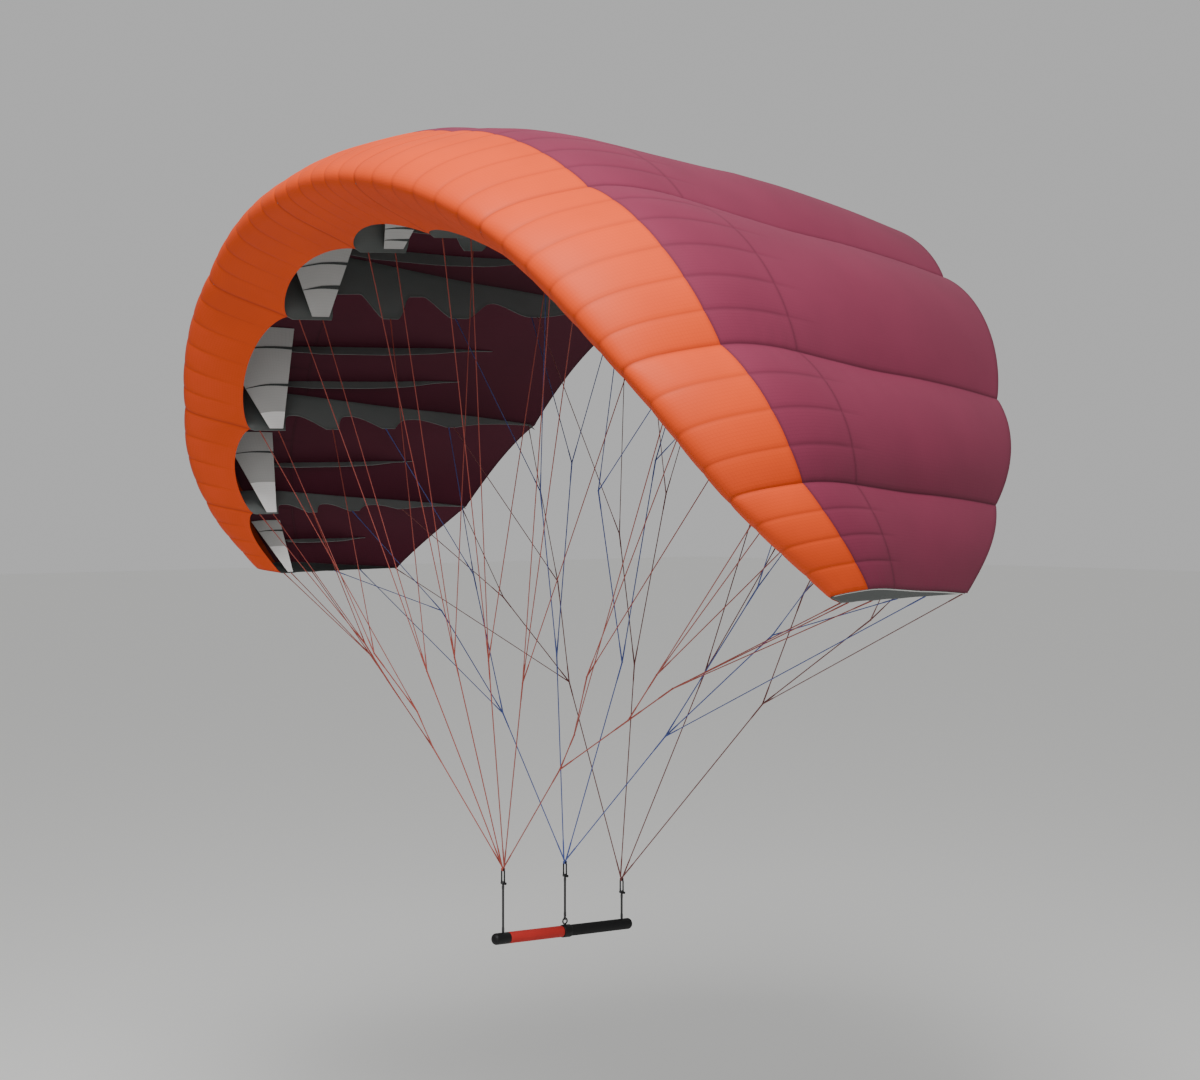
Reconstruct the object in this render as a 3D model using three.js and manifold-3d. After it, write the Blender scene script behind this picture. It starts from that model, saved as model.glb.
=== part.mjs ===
// A single-skin parawing on a hand-held bar, with its cloth full of air and all its lines taut.
// Millimetres, +Z up. The origin is the middle of the bar. The leading edge faces -Y, and the two
// halves are mirror images about the plane X = 0.
import * as THREE from 'three';
import { mergeVertices } from 'three/addons/utils/BufferGeometryUtils.js';
import Module from 'manifold-3d';

const wasm = await Module();
wasm.setup();

// Cloth thicknesses and the gaps between neighbouring pieces
const OUTER_CLOTH = 1.6;
const RIB_CLOTH = 1.6;
const PANEL_CLOTH = 1.2;
const FIN_CLOTH = 1.2;
const BUTT_GAP = 0.4;
const UNDER_CLOTH_GAP = 0.7;
const INNER_PIECE_GAP = 3.5;

// Ribs of one half, from the innermost to the tip: the foremost point, the length of the chord, and
// three angles in degrees. Roll leans the rib's top outwards, pitch lowers its rear end and toe
// turns its rear end outwards. Inset is how far the rib's edge stands in from the outer face of the
// cloth, more where the leading edge is swept.
const RIBS = [
  { x: 161, y: -774, z: 1814, chord: 1694, roll: 8.5, pitch: -5.1, toe: 1.1, inset: 2.6 },
  { x: 544, y: -726, z: 1674, chord: 1558, roll: 31.4, pitch: -5.2, toe: 3.4, inset: 2.7 },
  { x: 871, y: -620, z: 1379, chord: 1278, roll: 51.2, pitch: -4.5, toe: 3.7, inset: 3.0 },
  { x: 1040, y: -471, z: 1132, chord: 942, roll: 59.7, pitch: -2.3, toe: 1.7, inset: 3.6 },
  { x: 1140, y: -257, z: 943, chord: 508, roll: 64.3, pitch: 0.8, toe: -1.2, inset: 4.2 },
];
const TIP = RIBS.length - 1;

// Wing section as shares of the chord, from the lower rear edge of the leading-edge cloth round the
// nose and over the top to the trailing edge
const SECTION = [
  { along: 0.129, up: -0.024 },
  { along: 0.094, up: -0.007 },
  { along: 0.058, up: 0.009 },
  { along: 0.026, up: 0.025 },
  { along: 0.005, up: 0.041 },
  { along: 0.002, up: 0.059 },
  { along: 0.023, up: 0.077 },
  { along: 0.075, up: 0.098 },
  { along: 0.165, up: 0.120 },
  { along: 0.220, up: 0.125 },
  { along: 0.285, up: 0.121 },
  { along: 0.350, up: 0.111 },
  { along: 0.460, up: 0.091 },
  { along: 0.580, up: 0.070 },
  { along: 0.710, up: 0.053 },
  { along: 0.860, up: 0.028 },
  { along: 1.000, up: 0.000 },
];
const NOSE_ROW = 4;
const COLOUR_ROW = 8;
const SEAM_ROW = 11;
const TRAILING_ROW = 16;

// Cells from the centre outwards: flat facets across the cell, how far the cloth swells out behind
// the nose, in the middle of the chord and at the trailing edge, and the fins that hang in the cell.
// A fin starts and ends at shares of the cell's width, measured from the cell's outer rib.
const CELLS = [
  { facets: 6, front: 4, middle: 46, rear: 38, fins: [{ from: 0.10, to: 0.24, end: 0.74 }] },
  {
    facets: 6, front: 14, middle: 54, rear: 36,
    fins: [{ from: 0.06, to: 0.22, end: 0.74 }, { from: 0.29, to: 0.46, end: 0.78 }],
  },
  {
    facets: 6, front: 33, middle: 56, rear: 34,
    fins: [{ from: 0.07, to: 0.22, end: 0.74 }, { from: 0.29, to: 0.46, end: 0.78 }],
  },
  { facets: 4, front: 29, middle: 40, rear: 27, fins: [{ from: 0.26, to: 0.42, end: 0.74 }] },
  { facets: 4, front: 14, middle: 20, rear: 16, fins: [{ from: 0.30, to: 0.40, end: 0.70 }] },
];
const SWELL_MIDDLE = 0.6;
const FIN_START = 0.33;
const FIN_STEPS = 8;
const FIN_DEPTH = 24;
const FIN_END_DEPTH = 5;
const FIN_START_DEPTH = 12;

// The lower rear edge of the leading-edge cloth is cut back towards the nose between two ribs, by
// this share of the first step of the section
const EDGE_ARCH = 0.92;
const EDGE_ARCH_POWER = 0.6;

// Tabs along the lower edge of a rib, with the height of the arch behind each one
const TABS = [
  { from: 0.136, to: 0.219, up: -0.028, arch: 0.056 },
  { from: 0.334, to: 0.370, up: -0.023, arch: 0.050 },
  { from: 0.498, to: 0.536, up: -0.019, arch: 0.034 },
  { from: 0.697, to: 0.731, up: -0.012, arch: 0.010 },
];
const TIP_ARCH_SHARE = 0.1;
const ARCH_STEPS = 7;
const RIB_REAR = 0.985;
const RIB_REAR_DROP = 5;
const TAB_SETBACK = 0.012;

// A slanting panel stands on the rear part of a rib's first tab and reaches the top cloth of the
// next cell towards the centre
const PANEL = {
  footFrom: 0.179, footTo: 0.215, footUp: -0.022,
  headFrom: 0.180, headTo: 0.290, headAcross: 0.42,
  columns: 2, rows: 2,
};

// Lines: points where a line branches, for the half at +X. "from" names what holds the lower end.
const LINE_RADIUS = { main: 1.3, upper: 1.0, knot: 2.6 };
const LINE_SIDES = 4;
const LINE_SETS = {
  front: {
    colour: 0xb5402f,
    knots: {
      A1: { from: 'foot', at: [267, -239, 490] },
      A2: { from: 'foot', at: [202, -305, 705] },
      A3: { from: 'foot', at: [72, -311, 752] },
      K1: { from: 'A1', at: [330, -246, 583] },
      K2: { from: 'A1', at: [490, -214, 630] },
      K3: { from: 'K2', at: [606, -229, 749] },
      K4: { from: 'K2', at: [627, -198, 716] },
      K5: { from: 'K1', at: [447, -307, 738] },
    },
    ends: [
      { from: 'A3', rib: 0, along: 0.150 }, { from: 'A3', rib: 0, along: 0.200 },
      { from: 'A3', rib: 0, along: 0.352 }, { from: 'A2', rib: 1, along: 0.150 },
      { from: 'A2', rib: 1, along: 0.200 }, { from: 'A2', rib: 1, along: 0.352 },
      { from: 'K1', rib: 2, along: 0.150 }, { from: 'K5', rib: 2, along: 0.200 },
      { from: 'K5', rib: 2, along: 0.352 }, { from: 'K3', rib: 3, along: 0.150 },
      { from: 'K3', rib: 3, along: 0.200 }, { from: 'K3', rib: 3, along: 0.352 },
      { from: 'K4', rib: 4, along: 0.150 }, { from: 'K4', rib: 4, along: 0.200 },
      { from: 'K4', rib: 4, along: 0.352 },
    ],
  },
  centre: {
    colour: 0x3d4f8c,
    knots: {
      C1: { from: 'foot', at: [335, 57, 553] },
      C2: { from: 'foot', at: [135, 89, 728] },
      J1: { from: 'C2', at: [120, 18, 1184] },
      J2: { from: 'C2', at: [172, 176, 1266] },
      J3: { from: 'C1', at: [580, 139, 940] },
      J4: { from: 'C1', at: [676, 91, 830] },
    },
    ends: [
      { from: 'J1', rib: 0, along: 0.508 }, { from: 'J1', rib: 1, along: 0.508 },
      { from: 'J2', rib: 0, along: 0.706 }, { from: 'J2', rib: 1, along: 0.706 },
      { from: 'J3', rib: 2, along: 0.508 }, { from: 'J3', rib: 2, along: 0.706 },
      { from: 'J4', rib: 3, along: 0.508 }, { from: 'J4', rib: 4, along: 0.517 },
      { from: 'C1', rib: 4, along: 0.706 },
    ],
  },
  rear: {
    colour: 0x7a3030,
    knots: {
      R1: { from: 'foot', at: [395, 356, 619] },
      R2: { from: 'foot', at: [145, 391, 686] },
      M1: { from: 'R2', at: [190, 560, 1180] },
      M2: { from: 'R2', at: [330, 500, 1060] },
      M3: { from: 'R1', at: [500, 400, 915] },
      M4: { from: 'R1', at: [742, 380, 858] },
    },
    ends: [
      { from: 'M1', rib: 0, along: 0.722 }, { from: 'M1', rib: 0, along: 0.975 },
      { from: 'M2', rib: 1, along: 0.722 }, { from: 'M2', rib: 1, along: 0.975 },
      { from: 'M3', rib: 2, along: 0.722 }, { from: 'M3', rib: 2, along: 0.975 },
      { from: 'M4', rib: 3, along: 0.714 }, { from: 'M4', rib: 3, along: 0.975 },
      { from: 'R1', rib: 4, along: 0.975 },
    ],
  },
};
const LINE_END_GAP = 2.2;
const LINE_FOOT = { side: 4.6, above: 5.2 };

// Rows of lines: where the top of the shackle is and where the strap meets the bar
const ROWS = {
  front: { y: -208, top: 198, barTop: 29.9 },
  centre: { y: 4, top: 188, barTop: 36.3 },
  rear: { y: 210, top: 113, barTop: 0.7 },
};
const SHACKLE = { width: 16, height: 42, bar: 4.4, pin: 1.8, pinReach: 12, head: 3.4 };
const STRAP = { radius: 3.6, gap: 0.4 };

// Bar: its axis drops towards the rear. Stations are distances along it from the middle.
const BAR_DROP = 4.0;
const BAR = { radius: 15, band: 17, frontEnd: -243, red: -190, bandFrom: -7, bandTo: 21, rearEnd: 244 };
const EYE = { radius: 7.5, wire: 2, centre: 26.7 };

const COLOURS = {
  orange: { color: 0xd8683f, roughness: 0.62 },
  maroon: { color: 0x853c50, roughness: 0.62 },
  grey: { color: 0x3a3e3b, roughness: 0.7 },
  pale: { color: 0xa8a8a8, roughness: 0.7 },
  black: { color: 0x151515, roughness: 0.55 },
  steel: { color: 0x2a2a2c, roughness: 0.35, metalness: 0.9 },
  red: { color: 0xc8402f, roughness: 0.6 },
};

const radians = THREE.MathUtils.degToRad;
const lerp = THREE.MathUtils.lerp;
const wing = new THREE.Group();

function place(name, geometry, colour) {
  const mesh = new THREE.Mesh(geometry, new THREE.MeshStandardMaterial(colour));
  mesh.name = name;
  wing.add(mesh);
  return mesh;
}

// Axes of a rib: u runs back along the chord, w runs up in the rib's plane, t points across
function ribFrame(rib, side) {
  const roll = radians(rib.roll);
  const pitch = radians(rib.pitch);
  const toe = radians(rib.toe);
  const across = new THREE.Vector3(Math.cos(roll), 0, -Math.sin(roll));
  const u = new THREE.Vector3(0, Math.cos(pitch), -Math.sin(pitch)).multiplyScalar(Math.cos(toe));
  u.addScaledVector(across, Math.sin(toe)).normalize();
  const w = new THREE.Vector3().crossVectors(across, u).normalize();
  const nose = new THREE.Vector3(rib.x, rib.y, rib.z);
  for (const v of [u, w, nose]) v.x *= side;
  return { nose, u, w, t: new THREE.Vector3().crossVectors(u, w), chord: rib.chord };
}

function ribPoint(rib, side, along, up) {
  const f = ribFrame(rib, side);
  return f.nose.clone().addScaledVector(f.u, along * f.chord).addScaledVector(f.w, up * f.chord);
}

// All ribs from the left tip to the right tip, and the cells between them
const SPAN_RIBS = [
  ...RIBS.map((rib) => ({ rib, side: -1 })).reverse(),
  ...RIBS.map((rib) => ({ rib, side: 1 })),
];
const SPAN_CELLS = [...CELLS.slice(1).reverse(), CELLS[0], ...CELLS.slice(1)];

// Row of the section at a share of the chord on the top side
function topRow(along) {
  let row = COLOUR_ROW;
  while (row < TRAILING_ROW - 1 && SECTION[row + 1].along < along) row += 1;
  const here = SECTION[row];
  const next = SECTION[row + 1];
  return row + (along - here.along) / (next.along - here.along);
}

function sectionAt(row) {
  const first = Math.min(Math.floor(row), TRAILING_ROW - 1);
  const share = row - first;
  return {
    along: lerp(SECTION[first].along, SECTION[first + 1].along, share),
    up: lerp(SECTION[first].up, SECTION[first + 1].up, share),
  };
}

function swell(cell, row) {
  if (row <= NOSE_ROW) return 0;
  if (row <= COLOUR_ROW) return (cell.front * (row - NOSE_ROW)) / (COLOUR_ROW - NOSE_ROW);
  const { along } = sectionAt(row);
  const colourEdge = SECTION[COLOUR_ROW].along;
  if (along < SWELL_MIDDLE) {
    return lerp(cell.front, cell.middle, (along - colourEdge) / (SWELL_MIDDLE - colourEdge));
  }
  return lerp(cell.middle, cell.rear, (along - SWELL_MIDDLE) / (1 - SWELL_MIDDLE));
}

// A curve from tip to tip through one row of every rib
function spanCurve(row) {
  const { along, up } = sectionAt(row);
  return new THREE.CatmullRomCurve3(SPAN_RIBS.map((r) => ribPoint(r.rib, r.side, along, up)));
}

// Outer face of the cloth, without thickness, at a share of the width of one cell
function clothPoint(cellIndex, share, row) {
  const cells = SPAN_CELLS.length;
  const t = (cellIndex + share) / cells;
  const step = 0.02 / cells;
  const curve = spanCurve(row);
  const base = curve.getPoint(t);
  const across = curve.getPoint(Math.min(t + step, 1)).sub(curve.getPoint(Math.max(t - step, 0)));
  const before = spanCurve(Math.max(row - 0.3, 0)).getPoint(t);
  const after = spanCurve(Math.min(row + 0.3, TRAILING_ROW)).getPoint(t);
  const out = across.cross(after.sub(before)).normalize();
  return base.addScaledVector(out, swell(SPAN_CELLS[cellIndex], row) * 4 * share * (1 - share));
}

// Columns of the cloth, at the ribs and at each facet's edge between them
const COLUMNS = [];
SPAN_CELLS.forEach((cell, cellIndex) => {
  for (let k = 0; k < cell.facets; k += 1) COLUMNS.push({ cellIndex, share: k / cell.facets });
});
COLUMNS.push({ cellIndex: SPAN_CELLS.length - 1, share: 1 });

function edgeRow(share) {
  return EDGE_ARCH * Math.sin(Math.PI * share) ** EDGE_ARCH_POWER;
}

// The end columns stand a little outside the tip ribs, so that the cloth covers them
function coverTips(grid) {
  const reach = RIB_CLOTH / 2 + UNDER_CLOTH_GAP;
  [0, grid.length - 1].forEach((end) => {
    const { rib, side } = SPAN_RIBS[end === 0 ? 0 : SPAN_RIBS.length - 1];
    const { t } = ribFrame(rib, side);
    const outward = Math.sign(t.x) === side ? 1 : -1;
    grid[end].forEach((p) => p.addScaledVector(t, outward * reach));
  });
  return grid;
}

function outerGrid() {
  return coverTips(COLUMNS.map(({ cellIndex, share }) => {
    const rows = [];
    for (let row = 0; row <= TRAILING_ROW; row += 1) {
      const lowered = row === 0 ? edgeRow(share) : row;
      rows.push(clothPoint(cellIndex, share, lowered));
    }
    return rows;
  }));
}

// Unit normals of a grid of points, pointing out of its front
function gridNormals(grid) {
  const last = grid.length - 1;
  return grid.map((column, i) => column.map((point, j) => {
    const end = column.length - 1;
    const across = grid[Math.min(i + 1, last)][j].clone().sub(grid[Math.max(i - 1, 0)][j]);
    const along = column[Math.min(j + 1, end)].clone().sub(column[Math.max(j - 1, 0)]);
    return across.cross(along).normalize();
  }));
}

function offsetGrid(grid, normals, distance) {
  return grid.map((column, i) => column.map((p, j) => p.clone().addScaledVector(normals[i][j], distance)));
}

function signedVolume(positions, index) {
  const [a, b, c] = [new THREE.Vector3(), new THREE.Vector3(), new THREE.Vector3()];
  let sum = 0;
  for (let i = 0; i < index.length; i += 3) {
    a.fromArray(positions, 3 * index[i]);
    b.fromArray(positions, 3 * index[i + 1]);
    c.fromArray(positions, 3 * index[i + 2]);
    sum += a.dot(b.cross(c));
  }
  return sum;
}

// A closed sheet from two grids of points, its front and its back, joined round the rim
function closedSheet(front, back) {
  const columns = front.length;
  const rows = front[0].length;
  const positions = [];
  for (const grid of [front, back]) grid.flat().forEach((p) => positions.push(p.x, p.y, p.z));
  const at = (face, i, j) => face * columns * rows + i * rows + j;
  const index = [];
  const quad = (a, b, c, d) => index.push(a, b, c, a, c, d);
  for (let i = 0; i + 1 < columns; i += 1) {
    for (let j = 0; j + 1 < rows; j += 1) {
      quad(at(0, i, j), at(0, i + 1, j), at(0, i + 1, j + 1), at(0, i, j + 1));
      quad(at(1, i, j), at(1, i, j + 1), at(1, i + 1, j + 1), at(1, i + 1, j));
    }
    quad(at(0, i, 0), at(1, i, 0), at(1, i + 1, 0), at(0, i + 1, 0));
    quad(at(0, i, rows - 1), at(0, i + 1, rows - 1), at(1, i + 1, rows - 1), at(1, i, rows - 1));
  }
  for (let j = 0; j + 1 < rows; j += 1) {
    quad(at(0, 0, j), at(0, 0, j + 1), at(1, 0, j + 1), at(1, 0, j));
    quad(at(0, columns - 1, j), at(1, columns - 1, j), at(1, columns - 1, j + 1), at(0, columns - 1, j + 1));
  }
  if (signedVolume(positions, index) < 0) index.reverse();
  const geometry = new THREE.BufferGeometry();
  geometry.setAttribute('position', new THREE.Float32BufferAttribute(positions, 3));
  geometry.setIndex(index);
  geometry.computeVertexNormals();
  return geometry;
}

// Moves the first or last row of a grid along the cloth, away from the neighbouring band
function drawBack(grid, first, last, distance) {
  const band = grid.map((column) => column.slice(first, last + 1).map((p) => p.clone()));
  band.forEach((column) => {
    const end = column.length - 1;
    const shift = (edge, inner) => {
      const along = column[inner].clone().sub(column[edge]).normalize();
      column[edge].addScaledVector(along, distance);
    };
    if (first > 0) shift(0, 1);
    if (last < TRAILING_ROW) shift(end, end - 1);
  });
  return band;
}

const OUTER = outerGrid();
const NORMALS = gridNormals(OUTER);
const INNER = offsetGrid(OUTER, NORMALS, -OUTER_CLOTH);

function addBand(name, first, last, colour) {
  const front = drawBack(OUTER, first, last, BUTT_GAP / 2);
  const back = drawBack(INNER, first, last, BUTT_GAP / 2);
  place(name, closedSheet(front, back), colour);
}

// A point on the inner face of the cloth, lowered into the cell
function innerPoint(cellIndex, share, row, lowered) {
  const facets = SPAN_CELLS[cellIndex].facets;
  const start = COLUMNS.findIndex((c) => c.cellIndex === cellIndex);
  const column = Math.min(start + Math.floor(share * facets), start + facets - 1);
  const across = share * facets - (column - start);
  const j = Math.min(Math.floor(row), TRAILING_ROW - 1);
  const pick = (grid) => {
    const near = grid[column][j].clone().lerp(grid[column + 1][j], across);
    const far = grid[column][j + 1].clone().lerp(grid[column + 1][j + 1], across);
    return near.lerp(far, row - j);
  };
  return pick(INNER).addScaledVector(pick(NORMALS).normalize(), -lowered);
}

// Outline of a rib in its own plane, in millimetres from the foremost point of the chord
function ribOutline({ chord, inset }, archShare) {
  const top = SECTION.map((p) => new THREE.Vector2(p.along * chord, p.up * chord));
  const points = top.slice(0, TRAILING_ROW).map((p, i) => {
    const along = top[i + 1].clone().sub(top[Math.max(i - 1, 0)]).normalize();
    return new THREE.Vector2(p.x + along.y * inset, p.y - along.x * inset);
  });
  const rear = sectionAt(topRow(RIB_REAR));
  points.push(new THREE.Vector2(rear.along * chord, rear.up * chord - inset));
  points.push(new THREE.Vector2(RIB_REAR * chord, -RIB_REAR_DROP));
  for (let k = TABS.length - 1; k >= 0; k -= 1) {
    const tab = TABS[k];
    const next = TABS[k + 1] ?? { from: RIB_REAR, up: -RIB_REAR_DROP / chord };
    for (let i = ARCH_STEPS - 1; i > 0; i -= 1) {
      const q = i / ARCH_STEPS;
      const rise = tab.arch * archShare * Math.sin(Math.PI * q ** 0.8) ** 0.8;
      points.push(new THREE.Vector2(
        lerp(tab.to, next.from, q) * chord,
        (lerp(tab.up, next.up, q) + rise) * chord,
      ));
    }
    points.push(new THREE.Vector2(tab.to * chord, tab.up * chord));
    const front = k === 0 ? tab.from + TAB_SETBACK : tab.from;
    points.push(new THREE.Vector2(front * chord, tab.up * chord));
  }
  return points;
}

function addRib(index, side, name) {
  const rib = RIBS[index];
  const archShare = index === TIP ? TIP_ARCH_SHARE : 1;
  const shape = new THREE.Shape(ribOutline(rib, archShare));
  const geometry = new THREE.ExtrudeGeometry(shape, { depth: RIB_CLOTH, bevelEnabled: false });
  geometry.translate(0, 0, -RIB_CLOTH / 2);
  const frame = ribFrame(rib, side);
  const mesh = place(name, geometry, COLOURS.grey);
  mesh.position.copy(frame.nose);
  mesh.quaternion.setFromRotationMatrix(new THREE.Matrix4().makeBasis(frame.u, frame.w, frame.t));
}

// The cell on the centre side of a rib, and a share of its width counted from that rib
function cellInside(ribIndex, side, share) {
  const middle = CELLS.length - 1;
  const cellIndex = side < 0 ? middle - ribIndex : middle + ribIndex;
  return { cellIndex, share: side < 0 ? share : 1 - share };
}

function thinSheet(grid, thickness) {
  const normals = gridNormals(grid);
  return closedSheet(offsetGrid(grid, normals, thickness / 2), offsetGrid(grid, normals, -thickness / 2));
}

function addPanel(ribIndex, side, name) {
  const rib = RIBS[ribIndex];
  const frame = ribFrame(rib, side);
  const inward = Math.sign(frame.t.x) === side ? -1 : 1;
  const aside = inward * (RIB_CLOTH / 2 + PANEL_CLOTH / 2 + UNDER_CLOTH_GAP);
  const head = cellInside(ribIndex, side, PANEL.headAcross);
  const grid = [];
  for (let i = 0; i <= PANEL.columns; i += 1) {
    const q = i / PANEL.columns;
    const foot = ribPoint(rib, side, lerp(PANEL.footFrom, PANEL.footTo, q), PANEL.footUp);
    foot.addScaledVector(frame.t, aside);
    const row = topRow(lerp(PANEL.headFrom, PANEL.headTo, q));
    const top = innerPoint(head.cellIndex, head.share, row, INNER_PIECE_GAP);
    const column = [];
    for (let j = 0; j <= PANEL.rows; j += 1) column.push(foot.clone().lerp(top, j / PANEL.rows));
    grid.push(column);
  }
  place(name, thinSheet(grid, PANEL_CLOTH), COLOURS.pale);
}

function addFin(ribIndex, side, fin, name) {
  const grid = [];
  for (let i = 0; i <= FIN_STEPS; i += 1) {
    const q = i / FIN_STEPS;
    const row = topRow(lerp(FIN_START, fin.end, q));
    const { cellIndex, share } = cellInside(ribIndex, side, lerp(fin.from, fin.to, q));
    const top = innerPoint(cellIndex, share, row, INNER_PIECE_GAP);
    const depth = lerp(FIN_START_DEPTH, FIN_END_DEPTH, q) + FIN_DEPTH * Math.sin(Math.PI * q) * (1 - q);
    const down = innerPoint(cellIndex, share, row, INNER_PIECE_GAP + depth);
    grid.push([top, down]);
  }
  place(name, thinSheet(grid, FIN_CLOTH), COLOURS.grey);
}

// Booleans
function toSolid(geometry) {
  const bare = geometry.clone();
  bare.deleteAttribute('normal');
  bare.deleteAttribute('uv');
  const merged = mergeVertices(bare, 1e-4);
  return new wasm.Manifold(new wasm.Mesh({
    numProp: 3,
    vertProperties: Float32Array.from(merged.attributes.position.array),
    triVerts: Uint32Array.from(merged.index.array),
  }));
}

function fromSolid(solid) {
  const mesh = solid.getMesh();
  const geometry = new THREE.BufferGeometry();
  geometry.setAttribute('position', new THREE.BufferAttribute(mesh.vertProperties, 3));
  geometry.setIndex(new THREE.BufferAttribute(mesh.triVerts, 1));
  return mergeVertices(geometry, 1e-4);
}

function join(geometries) {
  return fromSolid(geometries.map(toSolid).reduce((whole, piece) => whole.add(piece)));
}

const UP = new THREE.Vector3(0, 1, 0);

function rod(a, b, radius, sides) {
  const along = b.clone().sub(a);
  const geometry = new THREE.CylinderGeometry(radius, radius, along.length(), sides);
  geometry.applyQuaternion(new THREE.Quaternion().setFromUnitVectors(UP, along.normalize()));
  return geometry.translate(...a.clone().add(b).multiplyScalar(0.5).toArray());
}

function ball(centre, radius) {
  return new THREE.OctahedronGeometry(radius, 0).translate(...centre.toArray());
}

// The lowest point of a rib at a share of the chord, where a line is tied
function tiePoint(rib, side, along) {
  const tab = TABS.find((t) => along <= t.to);
  const up = tab ? tab.up : -RIB_REAR_DROP / rib.chord;
  return ribPoint(rib, side, along, up);
}

function addLines(row, side, name) {
  const set = LINE_SETS[row];
  const { y, top } = ROWS[row];
  const points = { foot: new THREE.Vector3(side * LINE_FOOT.side, y, top + LINE_FOOT.above) };
  const pieces = [ball(points.foot, LINE_RADIUS.knot)];
  for (const [key, knot] of Object.entries(set.knots)) {
    points[key] = new THREE.Vector3(side * knot.at[0], knot.at[1], knot.at[2]);
    pieces.push(rod(points[knot.from], points[key], LINE_RADIUS.main, LINE_SIDES));
    pieces.push(ball(points[key], LINE_RADIUS.knot));
  }
  for (const end of set.ends) {
    const tie = tiePoint(RIBS[end.rib], side, end.along);
    const start = points[end.from];
    const run = tie.clone().sub(start);
    const stop = start.clone().addScaledVector(run, 1 - LINE_END_GAP / run.length());
    pieces.push(rod(start, stop, LINE_RADIUS.upper, LINE_SIDES));
  }
  place(name, join(pieces), { color: set.colour, roughness: 0.6 });
}

// A bow over two legs, closed below by a pin with a round head
function addShackle(row) {
  const { y, top } = ROWS[row];
  const { width, height, bar, pin, pinReach, head } = SHACKLE;
  const outer = width / 2;
  const inner = outer - bar;
  const foot = -height;
  const bow = new THREE.Shape();
  bow.moveTo(-outer, foot);
  bow.lineTo(-inner, foot);
  bow.lineTo(-inner, -outer);
  bow.absarc(0, -outer, inner, Math.PI, 0, true);
  bow.lineTo(inner, foot);
  bow.lineTo(outer, foot);
  bow.lineTo(outer, -outer);
  bow.absarc(0, -outer, outer, 0, Math.PI, false);
  bow.closePath();
  const plate = new THREE.ExtrudeGeometry(bow, { depth: bar, bevelEnabled: false, curveSegments: 6 });
  plate.translate(0, 0, -bar / 2).rotateX(Math.PI / 2).translate(0, y, top);
  const pinZ = top - height + head;
  const at = (x) => new THREE.Vector3(x, y, pinZ);
  const pinRod = rod(at(-outer - 1), at(pinReach - 1), pin, 8);
  const pinHead = rod(at(outer + 0.6), at(pinReach), head, 10);
  place(`${row}_shackle`, join([plate, pinRod, pinHead]), COLOURS.steel);
}

function addStrap(row) {
  const { y, top, barTop } = ROWS[row];
  const upper = top - SHACKLE.height - STRAP.gap;
  const geometry = rod(
    new THREE.Vector3(0, y, barTop + STRAP.gap),
    new THREE.Vector3(0, y, upper),
    STRAP.radius,
    8,
  );
  place(`${row}_strap`, geometry, COLOURS.black);
}

// A turned piece of the bar. Profile points are [radius, station along the bar].
function barPiece(name, profile, colour) {
  const points = profile.map(([radius, station]) => new THREE.Vector2(radius, station));
  const geometry = new THREE.LatheGeometry(points, 20);
  geometry.deleteAttribute('uv');
  geometry.deleteAttribute('normal');
  const mesh = place(name, mergeVertices(geometry, 1e-4), colour);
  mesh.rotation.x = -radians(BAR_DROP);
  return mesh;
}

function roundEnd(radius, station, direction) {
  const steps = 4;
  const points = [];
  for (let i = 0; i <= steps; i += 1) {
    const a = (Math.PI / 2) * (1 - i / steps);
    points.push([i === 0 ? 0 : radius * Math.cos(a), station - direction * radius * (1 - Math.sin(a))]);
  }
  return points;
}

function addBar() {
  const { radius, band, frontEnd, red, bandFrom, bandTo, rearEnd } = BAR;
  const g = BUTT_GAP / 2;
  const tube = (a, b, r) => [[0, a], [r, a], [r, b], [0, b]];
  barPiece('bar_front_cap', [...roundEnd(radius, frontEnd, -1), [radius, red - g], [0, red - g]], COLOURS.black);
  barPiece('bar_red_grip', tube(red + g, bandFrom - g, radius), COLOURS.red);
  barPiece('bar_middle_band', tube(bandFrom + g, bandTo - g, band), COLOURS.black);
  const rear = roundEnd(radius, rearEnd, 1).reverse();
  barPiece('bar_black_grip', [[0, bandTo + g], [radius, bandTo + g], ...rear], COLOURS.black);
  const eye = new THREE.TorusGeometry(EYE.radius, EYE.wire, 8, 16);
  eye.deleteAttribute('uv');
  eye.deleteAttribute('normal');
  const ring = place('bar_eye', mergeVertices(eye, 1e-4), COLOURS.steel);
  ring.position.set(0, ROWS.centre.y, EYE.centre);
  ring.rotation.y = Math.PI / 2;
}

addBand('leading_edge_cloth', 0, COLOUR_ROW, COLOURS.orange);
addBand('front_top_cloth', COLOUR_ROW, SEAM_ROW, COLOURS.maroon);
addBand('rear_top_cloth', SEAM_ROW, TRAILING_ROW, COLOURS.maroon);
for (const [hand, side] of [['left', -1], ['right', 1]]) {
  RIBS.forEach((rib, index) => {
    addRib(index, side, index === TIP ? `tip_rib_${hand}` : `rib_${index + 1}_${hand}`);
    addPanel(index, side, `slant_panel_${index + 1}_${hand}`);
    CELLS[index].fins.forEach((fin, k) => addFin(index, side, fin, `fin_${index + 1}${'ab'[k]}_${hand}`));
  });
  for (const row of Object.keys(LINE_SETS)) addLines(row, side, `${row}_lines_${hand}`);
}
for (const row of Object.keys(ROWS)) {
  addShackle(row);
  addStrap(row);
}
addBar();

export default wing;
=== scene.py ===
# %% [markdown]
# A parawing is a small kite of one layer of cloth. Ribs hold its section, air fills it, and fans of
# thin lines run down to a short bar in the flyer's hand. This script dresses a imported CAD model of
# one. The CAD model is the fixed frame: each piece made here stands where its node stands.

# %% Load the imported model
import math

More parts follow.
